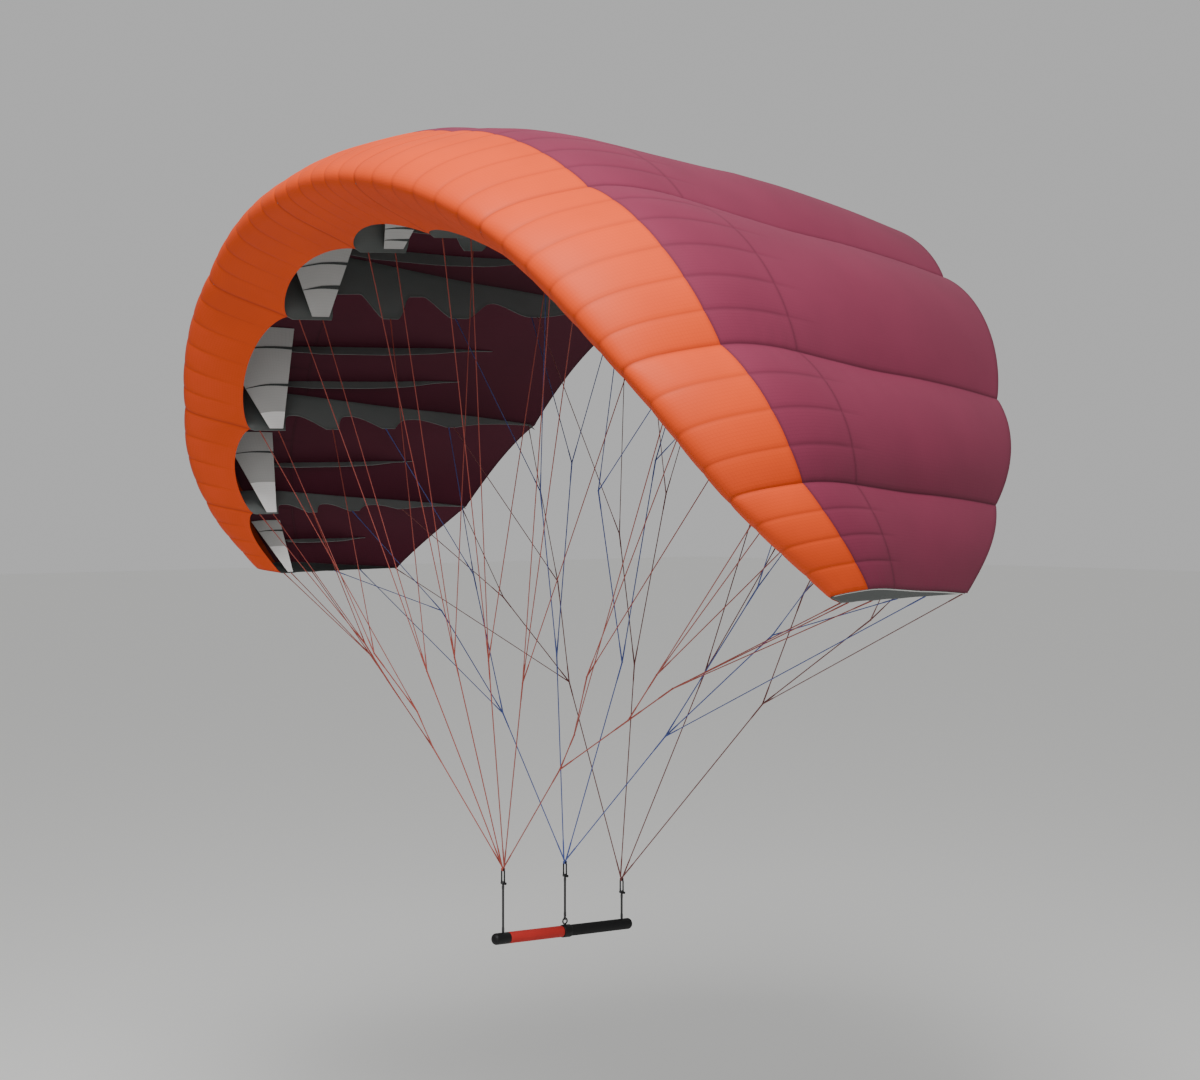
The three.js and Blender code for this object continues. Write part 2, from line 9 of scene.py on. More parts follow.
import bpy
import numpy as np
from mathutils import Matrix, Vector


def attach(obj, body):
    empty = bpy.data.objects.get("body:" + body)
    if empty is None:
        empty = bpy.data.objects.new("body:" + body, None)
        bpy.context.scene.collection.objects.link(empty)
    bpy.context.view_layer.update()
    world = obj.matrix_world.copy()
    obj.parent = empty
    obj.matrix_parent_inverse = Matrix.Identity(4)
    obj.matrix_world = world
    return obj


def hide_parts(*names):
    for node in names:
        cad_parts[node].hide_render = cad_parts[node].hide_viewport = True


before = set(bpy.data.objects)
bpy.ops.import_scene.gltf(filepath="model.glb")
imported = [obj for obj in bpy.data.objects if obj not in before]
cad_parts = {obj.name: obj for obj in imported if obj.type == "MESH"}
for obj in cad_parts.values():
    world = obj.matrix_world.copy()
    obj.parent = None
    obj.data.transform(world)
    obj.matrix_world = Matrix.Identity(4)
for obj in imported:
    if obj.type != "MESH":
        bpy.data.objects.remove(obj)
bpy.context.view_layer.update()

print("CAD nodes:", len(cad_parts))

# %% [markdown]
# The camera comes first, because every later choice of detail depends on what it sees. It stands
# some 4.7 metres from the wing's middle, in front and to the right, a little above the tips. Its
# place was worked out from points that both halves of the wing share.

# %% Camera
camera_data = bpy.data.cameras.new("camera")
camera_data.lens = 52.27
camera_data.sensor_width = 36
camera = bpy.data.objects.new("camera", camera_data)
camera.location = (3.564, -3.021, 1.1395)
camera.rotation_euler = (math.radians(88.94), 0, math.radians(48.52))
bpy.context.scene.collection.objects.link(camera)
bpy.context.scene.camera = camera
print("camera at", camera.location)

# %% [markdown]
# All sizes are in millimetres, as a pattern maker would write them, and turn to metres only when a
# mesh is made. The wing has five ribs on each side. Each has a foremost point, a chord and three
# angles: roll leans its top outwards, pitch lowers its rear and toe turns its rear outwards.

# %% Sizes of the ribs and of the section
MM = 0.001
CLOTH_THICK = 1.2
RIB_THICK = 1.2
RIBS = [
    dict(x=161, y=-774, z=1814, chord=1694, roll=8.5, pitch=-5.1, toe=1.1, inset=2.6),
    dict(x=544, y=-726, z=1674, chord=1558, roll=31.4, pitch=-5.2, toe=3.4, inset=2.7),
    dict(x=871, y=-620, z=1379, chord=1278, roll=51.2, pitch=-4.5, toe=3.7, inset=3.0),
    dict(x=1040, y=-471, z=1132, chord=942, roll=59.7, pitch=-2.3, toe=1.7, inset=3.6),
    dict(x=1140, y=-257, z=943, chord=508, roll=64.3, pitch=0.8, toe=-1.2, inset=4.2),
]
TIP = len(RIBS) - 1
# Shares of the chord, along and up: from the lower rear edge of the orange cloth, round the nose
# and over the top to the trailing edge
SECTION = np.array([
    (0.129, -0.024), (0.094, -0.007), (0.058, 0.009), (0.026, 0.025), (0.005, 0.041),
    (0.002, 0.059), (0.023, 0.077), (0.075, 0.098), (0.165, 0.120), (0.220, 0.125),
    (0.285, 0.121), (0.350, 0.111), (0.460, 0.091), (0.580, 0.070), (0.710, 0.053),
    (0.860, 0.028), (1.000, 0.000),
])
NOSE_ROW = 4
COLOUR_ROW = 8
SEAM_ROW = 11
TRAILING_ROW = 16
print(f"{len(RIBS)} ribs on each side, {RIBS[0]['chord']} to {RIBS[TIP]['chord']} mm long")

# %% [markdown]
# Between two ribs the cloth swells outwards like a sail. The swell is small at the nose, where
# short fins hold the cloth, and largest in the middle of the chord. The number of facets says how
# many strips the short fins part a cell into. Each long fin has a share of its cell's width at its
# front and at its rear, and the share of the chord where it ends.

# %% Cells from the centre outwards
CELLS = [
    dict(facets=6, front=4, middle=46, rear=38, fins=[(0.10, 0.24, 0.74)]),
    dict(facets=6, front=14, middle=54, rear=36, fins=[(0.06, 0.22, 0.74), (0.29, 0.46, 0.78)]),
    dict(facets=6, front=33, middle=56, rear=34, fins=[(0.07, 0.22, 0.74), (0.29, 0.46, 0.78)]),
    dict(facets=4, front=29, middle=40, rear=27, fins=[(0.26, 0.42, 0.74)]),
    dict(facets=4, front=14, middle=20, rear=16, fins=[(0.30, 0.40, 0.70)]),
]
SIDES = (("left", -1), ("right", 1))
SPAN = [(rib, -1) for rib in reversed(RIBS)] + [(rib, 1) for rib in RIBS]
SPAN_CELLS = CELLS[:0:-1] + CELLS
SWELL_MIDDLE = 0.6
print(f"{len(SPAN_CELLS)} cells from tip to tip")

# %% [markdown]
# The wing is worked out with arrays: one call gives a whole grid of points. A rib is a flat outline
# with its own axes, and the section is a smooth curve through the table's points. A subdivided cage
# could do the same, but formulas keep every seam at its true place.

# %% Points on the ribs
def rib_axes(rib, side):
    roll, pitch, toe = (math.radians(rib[key]) for key in ("roll", "pitch", "toe"))
    across = np.array([math.cos(roll), 0, -math.sin(roll)])
    back = np.array([0, math.cos(pitch), -math.sin(pitch)]) * math.cos(toe) + across * math.sin(toe)
    back /= np.linalg.norm(back)
    rise = np.cross(across, back)
    rise /= np.linalg.norm(rise)
    mirror = np.array([side, 1, 1])
    nose = np.array([rib["x"], rib["y"], rib["z"]]) * mirror
    return nose, back * mirror, rise * mirror


def out_of_wing(rib, side):
    _, back, rise = rib_axes(rib, side)
    across = np.cross(back, rise)
    return across if np.sign(across[0]) == side else -across


def rib_points(rib, side, along, up):
    nose, back, rise = rib_axes(rib, side)
    return nose + rib["chord"] * (np.multiply.outer(along, back) + np.multiply.outer(up, rise))


def section(rows):
    rows = np.clip(rows, 0, TRAILING_ROW)
    first = np.clip(rows.astype(int), 0, TRAILING_ROW - 1)
    s = (rows - first)[..., None]
    padded = np.vstack([2 * SECTION[0] - SECTION[1], SECTION, 2 * SECTION[-1] - SECTION[-2]])
    a, b, c, d = (padded[first + k] for k in range(4))
    return b + 0.5 * s * (c - a + s * (2 * a - 5 * b + 4 * c - d + s * (3 * (b - c) + d - a)))


def top_row(along):
    return np.interp(along, SECTION[NOSE_ROW + 1:, 0], np.arange(NOSE_ROW + 1, TRAILING_ROW + 1))


print("foremost point of the section:", section(np.array([NOSE_ROW + 0.5]))[0].round(4))

# %% [markdown]
# Across the span, one row of the section is taken on every rib, and a smooth curve joins the ten
# points. Its knots are spaced by the root of their distance, so it doesn't loop or overshoot where
# two ribs stand close together, as they do at the tips.

# %% Curves across the span
NORMAL_STEP = 0.02
ROW_STEP = 0.3


def span_points(stations, rows):
    shares = section(rows)
    control = np.array([rib_points(rib, side, shares[..., 0], shares[..., 1]) for rib, side in SPAN])
    ends = 2 * control[[0, -1]] - control[[1, -2]]
    control = np.concatenate([ends[:1], control, ends[1:]])
    place = np.clip(stations, 0, 1) * (len(SPAN) - 1)
    first = np.clip(place.astype(int), 0, len(SPAN) - 2)
    s = (place - first)[:, None, None]
    p = [control[first + k, np.arange(len(stations))] for k in range(4)]
    d = [np.sqrt(np.linalg.norm(p[k + 1] - p[k], axis=-1, keepdims=True)) for k in range(3)]
    leave = ((p[1] - p[0]) / d[0] - (p[2] - p[0]) / (d[0] + d[1]) + (p[2] - p[1]) / d[1]) * d[1]
    reach = ((p[2] - p[1]) / d[1] - (p[3] - p[1]) / (d[1] + d[2]) + (p[3] - p[2]) / d[2]) * d[1]
    return p[1] + s * (leave + s * (3 * (p[2] - p[1]) - 2 * leave - reach
                                    + s * (2 * (p[1] - p[2]) + leave + reach)))


def outward(stations, rows):
    step = NORMAL_STEP / (len(SPAN) - 1)
    across = span_points(stations + step, rows) - span_points(stations - step, rows)
    back = span_points(stations, rows + ROW_STEP) - span_points(stations, rows - ROW_STEP)
    normal = np.cross(across, back)
    return normal / np.linalg.norm(normal, axis=-1, keepdims=True)


crown = span_points(np.array([0.5]), np.array([[float(COLOUR_ROW)]]))[0, 0]
print("crown of the arch without its swell:", crown.round())

# %% [markdown]
# Real cloth is never even. On top of the swell come three small forms: a soft bulge between two
# short fins, a trough along each sewn line, and gathers, short creases that leave a rib's seam at
# right angles because the stitching draws the cloth up a little. Each rib's seam has gathers of its
# own: a sum of waves with chance lengths and starts.

# %% Small forms of the cloth
FIN_BULGE = 1.1
FIN_SEAMS = dict(start=0.5, start_ease=3, end=SEAM_ROW + 0.8, end_ease=1.2, depth=0.6)
SEAM_TROUGH = 1.3
SEAM_HALF_WIDTH = 3.6
CELL_WIDTH = {6: 385, 4: 270}
GATHERS = dict(depth=0.5, reach=38.0, clear=9, waves=4, turns=(0.09, 0.2), starts=(0, 6.28), run=1500)
chance = np.random.default_rng(11)
GATHER_WAVES = [(chance.uniform(*GATHERS["turns"], GATHERS["waves"]),
                 chance.uniform(*GATHERS["starts"], GATHERS["waves"])) for _ in SPAN]


def swell(cell, rows):
    along = section(rows)[..., 0]
    edge = SECTION[COLOUR_ROW, 0]
    behind = np.interp(along, [edge, SWELL_MIDDLE, 1], [cell["front"], cell["middle"], cell["rear"]])
    ahead = cell["front"] * np.clip((rows - NOSE_ROW) / (COLOUR_ROW - NOSE_ROW), 0, 1)
    return np.where(rows <= COLOUR_ROW, ahead, behind)


def fin_window(rows):
    fade_in = np.clip((rows - FIN_SEAMS["start"]) / FIN_SEAMS["start_ease"], 0, 1)
    return fade_in * np.clip((FIN_SEAMS["end"] - rows) / FIN_SEAMS["end_ease"], 0, 1)


def gathers(cells, shares, rows, to_rib):
    height = 0
    run = section(rows)[..., 0] * GATHERS["run"]
    fade = np.exp(-to_rib / GATHERS["reach"]) * (1 - np.exp(-(to_rib / GATHERS["clear"]) ** 2))
    for rib_number, (waves, phases) in enumerate(GATHER_WAVES):
        near = np.abs(cells + shares - rib_number) < 0.5
        ripple = np.sum([np.sin(run * w + f) for w, f in zip(waves, phases)], axis=0) / 2
        height = height + near[:, None] * GATHERS["depth"] * ripple * fade * np.clip(rows / 4, 0, 1)
    return height


print(f"gathers along {len(GATHER_WAVES)} ribs, seams {SEAM_TROUGH} mm deep")

# %% [markdown]
# All forms of the cloth meet in one function, which gives the points of its outer face and how near
# each of them is to a sewn line.

# %% The cloth's outer face
def cloth_points(cells, shares, rows, lowered=0.0):
    stations = (cells + shares) / len(SPAN_CELLS)
    base, normal = span_points(stations, rows), outward(stations, rows)
    bulge = np.array([swell(SPAN_CELLS[c], rows[i]) for i, c in enumerate(cells)])
    height = bulge * (4 * shares * (1 - shares))[:, None]
    facets = np.array([SPAN_CELLS[c]["facets"] for c in cells])
    width = np.array([CELL_WIDTH[f] for f in facets])
    strip = (shares * facets) % 1.0
    to_fin = (np.minimum(strip, 1 - strip) / facets * width)[:, None]
    to_rib = (np.minimum(shares, 1 - shares) * width)[:, None]
    window = fin_window(rows)
    height += FIN_BULGE * window * (4 * strip * (1 - strip))[:, None]
    fin_seam = window * np.exp(-(to_fin / SEAM_HALF_WIDTH) ** 2)
    seam = np.maximum(FIN_SEAMS["depth"] * fin_seam, np.exp(-(to_rib / SEAM_HALF_WIDTH) ** 2))
    height -= SEAM_TROUGH * seam
    height += gathers(cells, shares, rows, to_rib)
    return base + normal * (height - lowered)[..., None], seam


middle_top = cloth_points(np.array([len(CELLS) - 1]), np.array([0.5]), np.array([[9.0]]))[0][0, 0]
print("highest part of the middle cell:", middle_top.round())

# %% [markdown]
# The grid of a cloth also gives its real lengths. They become the UV map, so a weave drawn on it
# keeps its true scale everywhere, and they say how large the flat cloth is.

# %% Measures of a grid
def grid_normals(grid):
    across, back = np.gradient(grid, axis=0), np.gradient(grid, axis=1)
    normal = np.cross(across, back)
    return normal / np.linalg.norm(normal, axis=-1, keepdims=True)


def grid_lengths(grid):
    across = np.linalg.norm(np.diff(grid, axis=0), axis=-1).mean(axis=1)
    back = np.linalg.norm(np.diff(grid, axis=1), axis=-1)
    u = np.concatenate([[0], np.cumsum(across)])[:, None] + np.zeros(grid.shape[1])
    v = np.concatenate([np.zeros((len(grid), 1)), np.cumsum(back, axis=1)], axis=1)
    return np.stack([u, v], axis=-1)


def grid_area(grid):
    a, b = grid[1:, 1:] - grid[:-1, :-1], grid[1:, :-1] - grid[:-1, 1:]
    return 0.5 * np.linalg.norm(np.cross(a, b), axis=-1).sum() * MM * MM


square = np.array([[(x, y, 0.0) for y in (0, 500, 1000)] for x in (0, 500, 1000)])
print("area of a square metre, as a test:", grid_area(square))

# %% [markdown]
# Every sheet of cloth is a closed thin solid made from one grid: an outer face, an inner face and a
# rim between them. A Solidify modifier could thicken it, but written out the two faces can take
# their own finish: the inner face is painted darker, as painted shade for the inside of the canopy.

# %% From a grid to a thin closed sheet
def quads(a, b, c, d):
    return np.stack([a, b, c, d], axis=-1).reshape(-1, 4)


def sheet_layer(grid, thickness, front_finish=0, back_finish=0, seam=None, centred=False):
    normals = grid_normals(grid)
    outer = grid + normals * (thickness / 2 if centred else 0)
    inner = outer - normals * thickness
    columns, rows = grid.shape[:2]
    at = np.arange(columns * rows).reshape(columns, rows)
    far = at + columns * rows
    front = quads(at[:-1, :-1], at[1:, :-1], at[1:, 1:], at[:-1, 1:])
    back = quads(far[:-1, :-1], far[:-1, 1:], far[1:, 1:], far[1:, :-1])
    rim = np.concatenate([
        quads(at[:-1, 0], far[:-1, 0], far[1:, 0], at[1:, 0]),
        quads(at[:-1, -1], at[1:, -1], far[1:, -1], far[:-1, -1]),
        quads(at[0, :-1], at[0, 1:], far[0, 1:], far[0, :-1]),
        quads(at[-1, :-1], far[-1, :-1], far[-1, 1:], at[-1, 1:]),
    ])
    closeness = np.zeros(grid.shape[:2]) if seam is None else seam
    return dict(
        vertices=np.concatenate([outer.reshape(-1, 3), inner.reshape(-1, 3)]),
        faces=np.concatenate([front, back, rim]),
        finish=np.repeat([front_finish, back_finish, front_finish], [len(front), len(back), len(rim)]),
        lengths=np.tile(grid_lengths(grid).reshape(-1, 2), (2, 1)) * MM,
        seam=np.tile(closeness.ravel(), 2),
    )


print("faces of a test sheet:", len(sheet_layer(square, CLOTH_THICK)["faces"]))

# %% [markdown]
# A piece is one Blender object with one mesh, even where it has several layers, such as a panel
# with its tapes. It rides on the body that carries it and stands for one CAD node.

# %% From meshes to pieces of the wing
SHARP_ANGLE = 42


def link_mesh(name, vertices, faces, finishes, finish_of=None):
    mesh = bpy.data.meshes.new(name)
    mesh.from_pydata((np.asarray(vertices) * MM).tolist(), [], [list(f) for f in faces])
    for finish in finishes:
        mesh.materials.append(finish)
    if finish_of is not None:
        mesh.polygons.foreach_set("material_index", finish_of)
    mesh.polygons.foreach_set("use_smooth", [True] * len(faces))
    mesh.set_sharp_from_angle(angle=math.radians(SHARP_ANGLE))
    piece = bpy.data.objects.new(name, mesh)
    bpy.context.scene.collection.objects.link(piece)
    return piece


def dress(piece, node):
    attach(piece, "root")
    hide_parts(node)


def build_layers(name, layers, finishes):
    starts = np.cumsum([0] + [len(layer["vertices"]) for layer in layers])
    faces = np.concatenate([layer["faces"] + start for layer, start in zip(layers, starts)])
    joined = {key: np.concatenate([layer[key] for layer in layers])
              for key in ("vertices", "finish", "lengths", "seam")}
    piece = link_mesh(name, joined["vertices"], faces, finishes, joined["finish"])
    weave = piece.data.uv_layers.new(name="weave")
    weave.data.foreach_set("uv", joined["lengths"][faces.ravel()].ravel())
    mark = piece.data.attributes.new("seam", "FLOAT", "POINT")
    mark.data.foreach_set("value", joined["seam"])
    return piece


print("edges sharper than", SHARP_ANGLE, "degrees stay sharp")

# %% [markdown]
# Colours are written as sRGB hex, which is what a colour picker gives, and one function turns them
# to the linear values that a shader works with. Another adds a node with its settings and links. A
# pattern's real size becomes a texture's scale, and mottling gives a colour paler and darker patches
# of that size, because nothing dyed, moulded or blackened is quite even.

# %% Helpers for materials
def linear(colour):
    parts = [int(colour[i:i + 2], 16) / 255 for i in (1, 3, 5)]
    return [p / 12.92 if p <= 0.04045 else ((p + 0.055) / 1.055) ** 2.4 for p in parts] + [1.0]


def add(tree, kind, inputs=None, **settings):
    made = tree.nodes.new(kind)
    for key, value in settings.items():
        setattr(made, key, value)
    for key, value in (inputs or {}).items():
        if isinstance(value, bpy.types.NodeSocket):
            tree.links.new(value, made.inputs[key])
        else:
            made.inputs[key].default_value = value
    return made


def texture_scale(size_mm):
    return 1 / (size_mm * MM)


def start_material(name, roughness, **constants):
    material = bpy.data.materials.new(name)
    material.use_nodes = True
    tree = material.node_tree
    shader = tree.nodes["Principled BSDF"]
    shader.inputs["Roughness"].default_value = roughness
    for key, value in constants.items():
        shader.inputs[key.replace("_", " ")].default_value = value
    return material, tree, shader


def mottle(tree, colour, size_mm, detail, darkest, palest, reach=(0, 1)):
    place = add(tree, "ShaderNodeTexCoord").outputs["Object"]
    patches = add(tree, "ShaderNodeTexNoise", {"Vector": place, "Scale": texture_scale(size_mm),
                                               "Detail": detail}).outputs["Fac"]
    tone = add(tree, "ShaderNodeMapRange", {"Value": patches, "From Min": reach[0], "From Max": reach[1],
                                            "To Min": darkest, "To Max": palest}).outputs[0]
    dyed = add(tree, "ShaderNodeHueSaturation", {"Value": tone, "Color": linear(colour)}).outputs[0]
    return dyed, patches, place


def join_relief(tree, shader, colour, height, strength, depth_mm):
    bump = add(tree, "ShaderNodeBump", {"Height": height, "Strength": strength, "Distance": depth_mm * MM})
    tree.links.new(colour, shader.inputs["Base Color"])
    tree.links.new(bump.outputs["Normal"], shader.inputs["Normal"])


print("mid grey #808080 is", round(linear("#808080")[0], 3), "in linear light")

# %% [markdown]
# The canopy is ripstop nylon: thin plain-woven cloth with a thicker thread every 5 mm in both
# directions, dyed and coated on one side. To the eye it is an even, slightly glossy colour with a
# faint grid. A pixel covers some 4 mm, so the grid is drawn coarser, at 8 mm, and the uneven yarn
# at 1.4 mm instead of 0.1 mm. Sewn lines are painted a little darker: partly because the cloth is
# doubled there, and partly as painted shade for the shadow it throws.

# %% Ripstop nylon
RIPSTOP_MM = 8.0
YARN_MM = 10 / 7
DYE_DRIFT_MM = 500 / 3
TURN = 2 * math.pi
WAVE_FACTOR = 20.0
THREAD_SHARPNESS = 14.0
THREAD_STRENGTH = 0.12
SEAM_STRENGTH = 0.55
CLOTH_ROUGHNESS = 0.6


def ripstop_grid(tree):
    uv = add(tree, "ShaderNodeUVMap", uv_map="weave").outputs["UV"]
    scale = TURN / WAVE_FACTOR * texture_scale(RIPSTOP_MM)
    threads = []
    for direction in ("X", "Y"):
        wave = add(tree, "ShaderNodeTexWave", {"Vector": uv, "Scale": scale}, bands_direction=direction)
        thin = add(tree, "ShaderNodeMath", {0: wave.outputs["Fac"], 1: THREAD_SHARPNESS},
                   operation="POWER")
        threads.append(thin.outputs[0])
    return add(tree, "ShaderNodeMath", {0: threads[0], 1: threads[1]}, operation="MAXIMUM").outputs[0]


def ripstop_nylon(name, colour, seam_colour):
    material, tree, shader = start_material("ripstop_nylon_" + name, CLOTH_ROUGHNESS,
                                            Specular_IOR_Level=0.2)
    dyed, _, place = mottle(tree, colour, DYE_DRIFT_MM, 3.0, 0.95, 1.05, (0.3, 0.7))
    grid = ripstop_grid(tree)
    seam = add(tree, "ShaderNodeAttribute", attribute_name="seam").outputs["Fac"]
    # Thicker threads and sewn lines take the seam colour; on the canopy's sewn lines it is partly doubled
    # cloth and partly painted shade.
    for mask, strength in ((grid, THREAD_STRENGTH), (seam, SEAM_STRENGTH)):
        part = add(tree, "ShaderNodeMath", {0: mask, 1: strength}, operation="MULTIPLY").outputs[0]
        dyed = add(tree, "ShaderNodeMix", {"Factor": part, 6: dyed, 7: linear(seam_colour)},
                   data_type="RGBA").outputs[2]
    yarn = add(tree, "ShaderNodeTexNoise", {"Vector": place, "Scale": texture_scale(YARN_MM),
                                            "Detail": 2.0}).outputs["Fac"]
    height = add(tree, "ShaderNodeMath", {0: yarn, 1: 0.3, 2: grid}, operation="MULTIPLY_ADD").outputs[0]
    join_relief(tree, shader, dyed, height, 0.35, 0.2)
    return material


orange_outer = ripstop_nylon("orange", "#C84110", "#902C08")
# The inner colours are darker copies of the outer ones: painted shade for the inside of the canopy.
orange_inner_painted_shade = ripstop_nylon("orange_inner_painted_shade", "#8E3006", "#7A2A06")
maroon_outer = ripstop_nylon("maroon", "#6E273D", "#421323")
maroon_inner_painted_shade = ripstop_nylon("maroon_inner_painted_shade", "#451022", "#2B0814")
rib_nylon = ripstop_nylon("grey", "#7A807E", "#585E5C")
tip_nylon = ripstop_nylon("dark_grey", "#3E4241", "#6A6E6C")
pale_nylon = ripstop_nylon("pale", "#B6B6B4", "#80807E")
patch_nylon = ripstop_nylon("white", "#F6F6F4", "#B4B4B2")
print("cloth finishes:", len(bpy.data.materials))

# %% [markdown]
# The three cloths of the canopy run from tip to tip. Their grid has close columns at each sewn line
# and close rows at each edge, so the trough there is a real form. The orange cloth's lower rear
# edge is cut back in an arch between two ribs, which its first rows follow.

# %% Columns and rows of the canopy
FACET_STEPS = (0, 0.025, 0.07, 0.16, 0.3, 0.5, 0.7, 0.84, 0.93, 0.975)
EDGE_ROWS = (0.018, 0.04, 0.075)
EDGE_ARCH = 0.92
EDGE_ARCH_POWER = 0.6


def canopy_columns():
    cells, shares = [], []
    for cell, entry in enumerate(SPAN_CELLS):
        for facet in range(entry["facets"]):
            for step in FACET_STEPS:
                cells.append(cell)
                shares.append((facet + step) / entry["facets"])
    return np.array(cells + [len(SPAN_CELLS) - 1]), np.array(shares + [1.0])


def band_rows(first, last, steps, cells, shares):
    rows = np.linspace(first, last, (last - first) * steps + 1)
    close = np.array(EDGE_ROWS)
    rows = np.unique(np.concatenate([rows, first + close, last - close]))
    rows = np.tile(rows, (len(cells), 1))
    if first == 0:
        edge = (EDGE_ARCH * np.sin(np.pi * shares) ** EDGE_ARCH_POWER)[:, None]
        rows = np.where(rows < 1, edge + rows * (1 - edge), rows)
    return rows


CLOTH_CELLS, CLOTH_SHARES = canopy_columns()
print("columns of the canopy:", len(CLOTH_CELLS))

# %% [markdown]
# A real canopy is sewn edge to edge with the seam folded inside. Here two cloths meet with a hair's
# breadth between them, each edge is painted darker along its stitching, partly as painted shade, and
# the end columns cover the tip ribs.

# %% The three cloths of the canopy
BUTT_GAP = 0.3
EDGE_STITCH = 5.0
HEM_STITCH = 11.0
EDGE_SEAM = 0.8
TIP_COVER = 1.5
RIB_NODES = [f"{'tip_rib' if k == TIP else f'rib_{k + 1}'}_{hand}" for hand, _ in SIDES
             for k in range(len(RIBS))]


def part_edges(grid, first, last):
    for row, inner, at_end in ((0, 1, first > 0), (-1, -2, last < TRAILING_ROW)):
        if at_end:
            step = grid[:, inner] - grid[:, row]
            grid[:, row] += step * (BUTT_GAP / 2 / np.linalg.norm(step, axis=-1, keepdims=True))


def build_band(name, first, last, steps, finishes):
    rows = band_rows(first, last, steps, CLOTH_CELLS, CLOTH_SHARES)
    grid, seam = cloth_points(CLOTH_CELLS, CLOTH_SHARES, rows)
    for column, (rib, side) in ((grid[0], SPAN[0]), (grid[-1], SPAN[-1])):
        column += out_of_wing(rib, side) * TIP_COVER
    run = grid_lengths(grid)[..., 1]
    # Each edge is painted in the seam colour over a few millimetres: partly stitched cloth, partly painted
    # shade.
    for away, strength in ((run, first > 0), (run[:, -1:] - run, 1)):
        reach = EDGE_STITCH if last < TRAILING_ROW or away is run else HEM_STITCH
        seam = np.maximum(seam, strength * EDGE_SEAM * np.exp(-(away / reach) ** 2))
    part_edges(grid, first, last)
    piece = build_layers(name, [sheet_layer(grid, CLOTH_THICK, 0, 1, seam)], finishes)
    dress(piece, name.replace("_skin", "_cloth"))


build_band("leading_edge_skin", 0, COLOUR_ROW, 6, [orange_outer, orange_inner_painted_shade])
build_band("front_top_skin", COLOUR_ROW, SEAM_ROW, 8, [maroon_outer, maroon_inner_painted_shade])
build_band("rear_top_skin", SEAM_ROW, TRAILING_ROW, 10, [maroon_outer, maroon_inner_painted_shade])

# %% [markdown]
# A rib is a flat web of cloth. Its upper edge follows the section just under the canopy, and its
# lower edge is a row of tabs, where lines are tied, with arches cut between them. Each arch climbs
# from one tab to a flat part and falls to the next; flat says where that part starts and ends. Two
# ribs have rounder arches. A Boolean cut would do, but would leave long thin triangles.

# %% Outline of a rib
TABS = [
    dict(start=0.136, end=0.219, up=-0.028, arch=0.056, flat=(0.24, 0.78)),
    dict(start=0.334, end=0.370, up=-0.023, arch=0.050, flat=(0.40, 0.66)),
    dict(start=0.498, end=0.536, up=-0.019, arch=0.034, flat=(0.48, 0.54)),
    dict(start=0.697, end=0.731, up=-0.012, arch=0.010, flat=(0.45, 0.55)),
]
TIP_ARCH_SHARE = 0.1
ROUND_RIBS = (2, 3)
ROUND_FLAT = (0.38, 0.48)
RIB_REAR = 0.985
RIB_REAR_DROP = 5


def arch_height(q, flat, rounded):
    start, end = ROUND_FLAT if rounded else flat
    rise = np.clip(np.where(q < start, q / start, np.where(q > end, (1 - q) / (1 - end), 1.0)), 0, 1)
    return np.sin(rise * np.pi / 2) if rounded else 0.35 * rise + 0.65 * rise * rise * (3 - 2 * rise)


def rib_lower(index, along):
    rib = RIBS[index]
    share = TIP_ARCH_SHARE if index == TIP else 1.0
    up = np.interp(along, SECTION[NOSE_ROW::-1, 0], SECTION[NOSE_ROW::-1, 1] + rib["inset"] / rib["chord"])
    rear = dict(start=RIB_REAR, up=-RIB_REAR_DROP / rib["chord"])
    for tab, after in zip(TABS, TABS[1:] + [rear]):
        up = np.where((along >= tab["start"]) & (along <= tab["end"]), tab["up"], up)
        q = (along - tab["end"]) / (after["start"] - tab["end"])
        line = tab["up"] + (after["up"] - tab["up"]) * q
        arch = tab["arch"] * share * arch_height(q, tab["flat"], index in ROUND_RIBS)
        up = np.where((q > 0) & (q < 1), line + arch, up)
    return up


def rib_stations(index):
    start = SECTION[NOSE_ROW + 1, 0] + RIBS[index]["inset"] / RIBS[index]["chord"] * 1.3
    near_nose = start + (TABS[0]["start"] - start) * np.linspace(0, 1, 15)[:-1] ** 1.6
    edges = [e for tab in TABS for e in (tab["start"], tab["end"])] + [RIB_REAR]
    rest = [np.linspace(a, b, 21 if k % 2 else 5)[:-1] for k, (a, b) in enumerate(zip(edges, edges[1:]))]
    return np.concatenate([near_nose, *rest, [RIB_REAR]])


print("stations along a rib:", len(rib_stations(0)))

# %% [markdown]
# The web is one grid of stations along the chord and levels from the lower to the upper edge. The
# two tip ribs close the wing's ends and show from outside, so they also get the pale binding tape
# that is folded over their upper edge.

# %% Ribs
RIB_LEVELS = 9
RIB_THINNEST = 0.002
RIB_HEMS = dict(lower=0.05, upper=0.04, strength=0.8)
BINDING = dict(proud=1.4, tall=4.5, thick=0.6, most=0.6)


def rib_grid(index, side):
    rib = RIBS[index]
    along = rib_stations(index)
    curve = section(np.linspace(NOSE_ROW + 0.5, TRAILING_ROW, 200))
    upper = np.interp(along, curve[:, 0], curve[:, 1]) - rib["inset"] / rib["chord"]
    lower = np.minimum(rib_lower(index, along), upper - RIB_THINNEST)
    level = np.linspace(0, 1, RIB_LEVELS)
    up = lower[:, None] + (upper - lower)[:, None] * level
    return rib_points(rib, side, np.tile(along[:, None], RIB_LEVELS), up), level


def binding_layer(grid, index, side):
    top = grid[:, -1] + out_of_wing(RIBS[index], side) * BINDING["proud"]
    down = grid[:, 0] - grid[:, -1]
    height = np.linalg.norm(down, axis=-1, keepdims=True)
    tall = np.minimum(BINDING["tall"], BINDING["most"] * height)
    return sheet_layer(np.stack([top, top + down / height * tall], axis=1), BINDING["thick"], 1, 1,
                       centred=True)


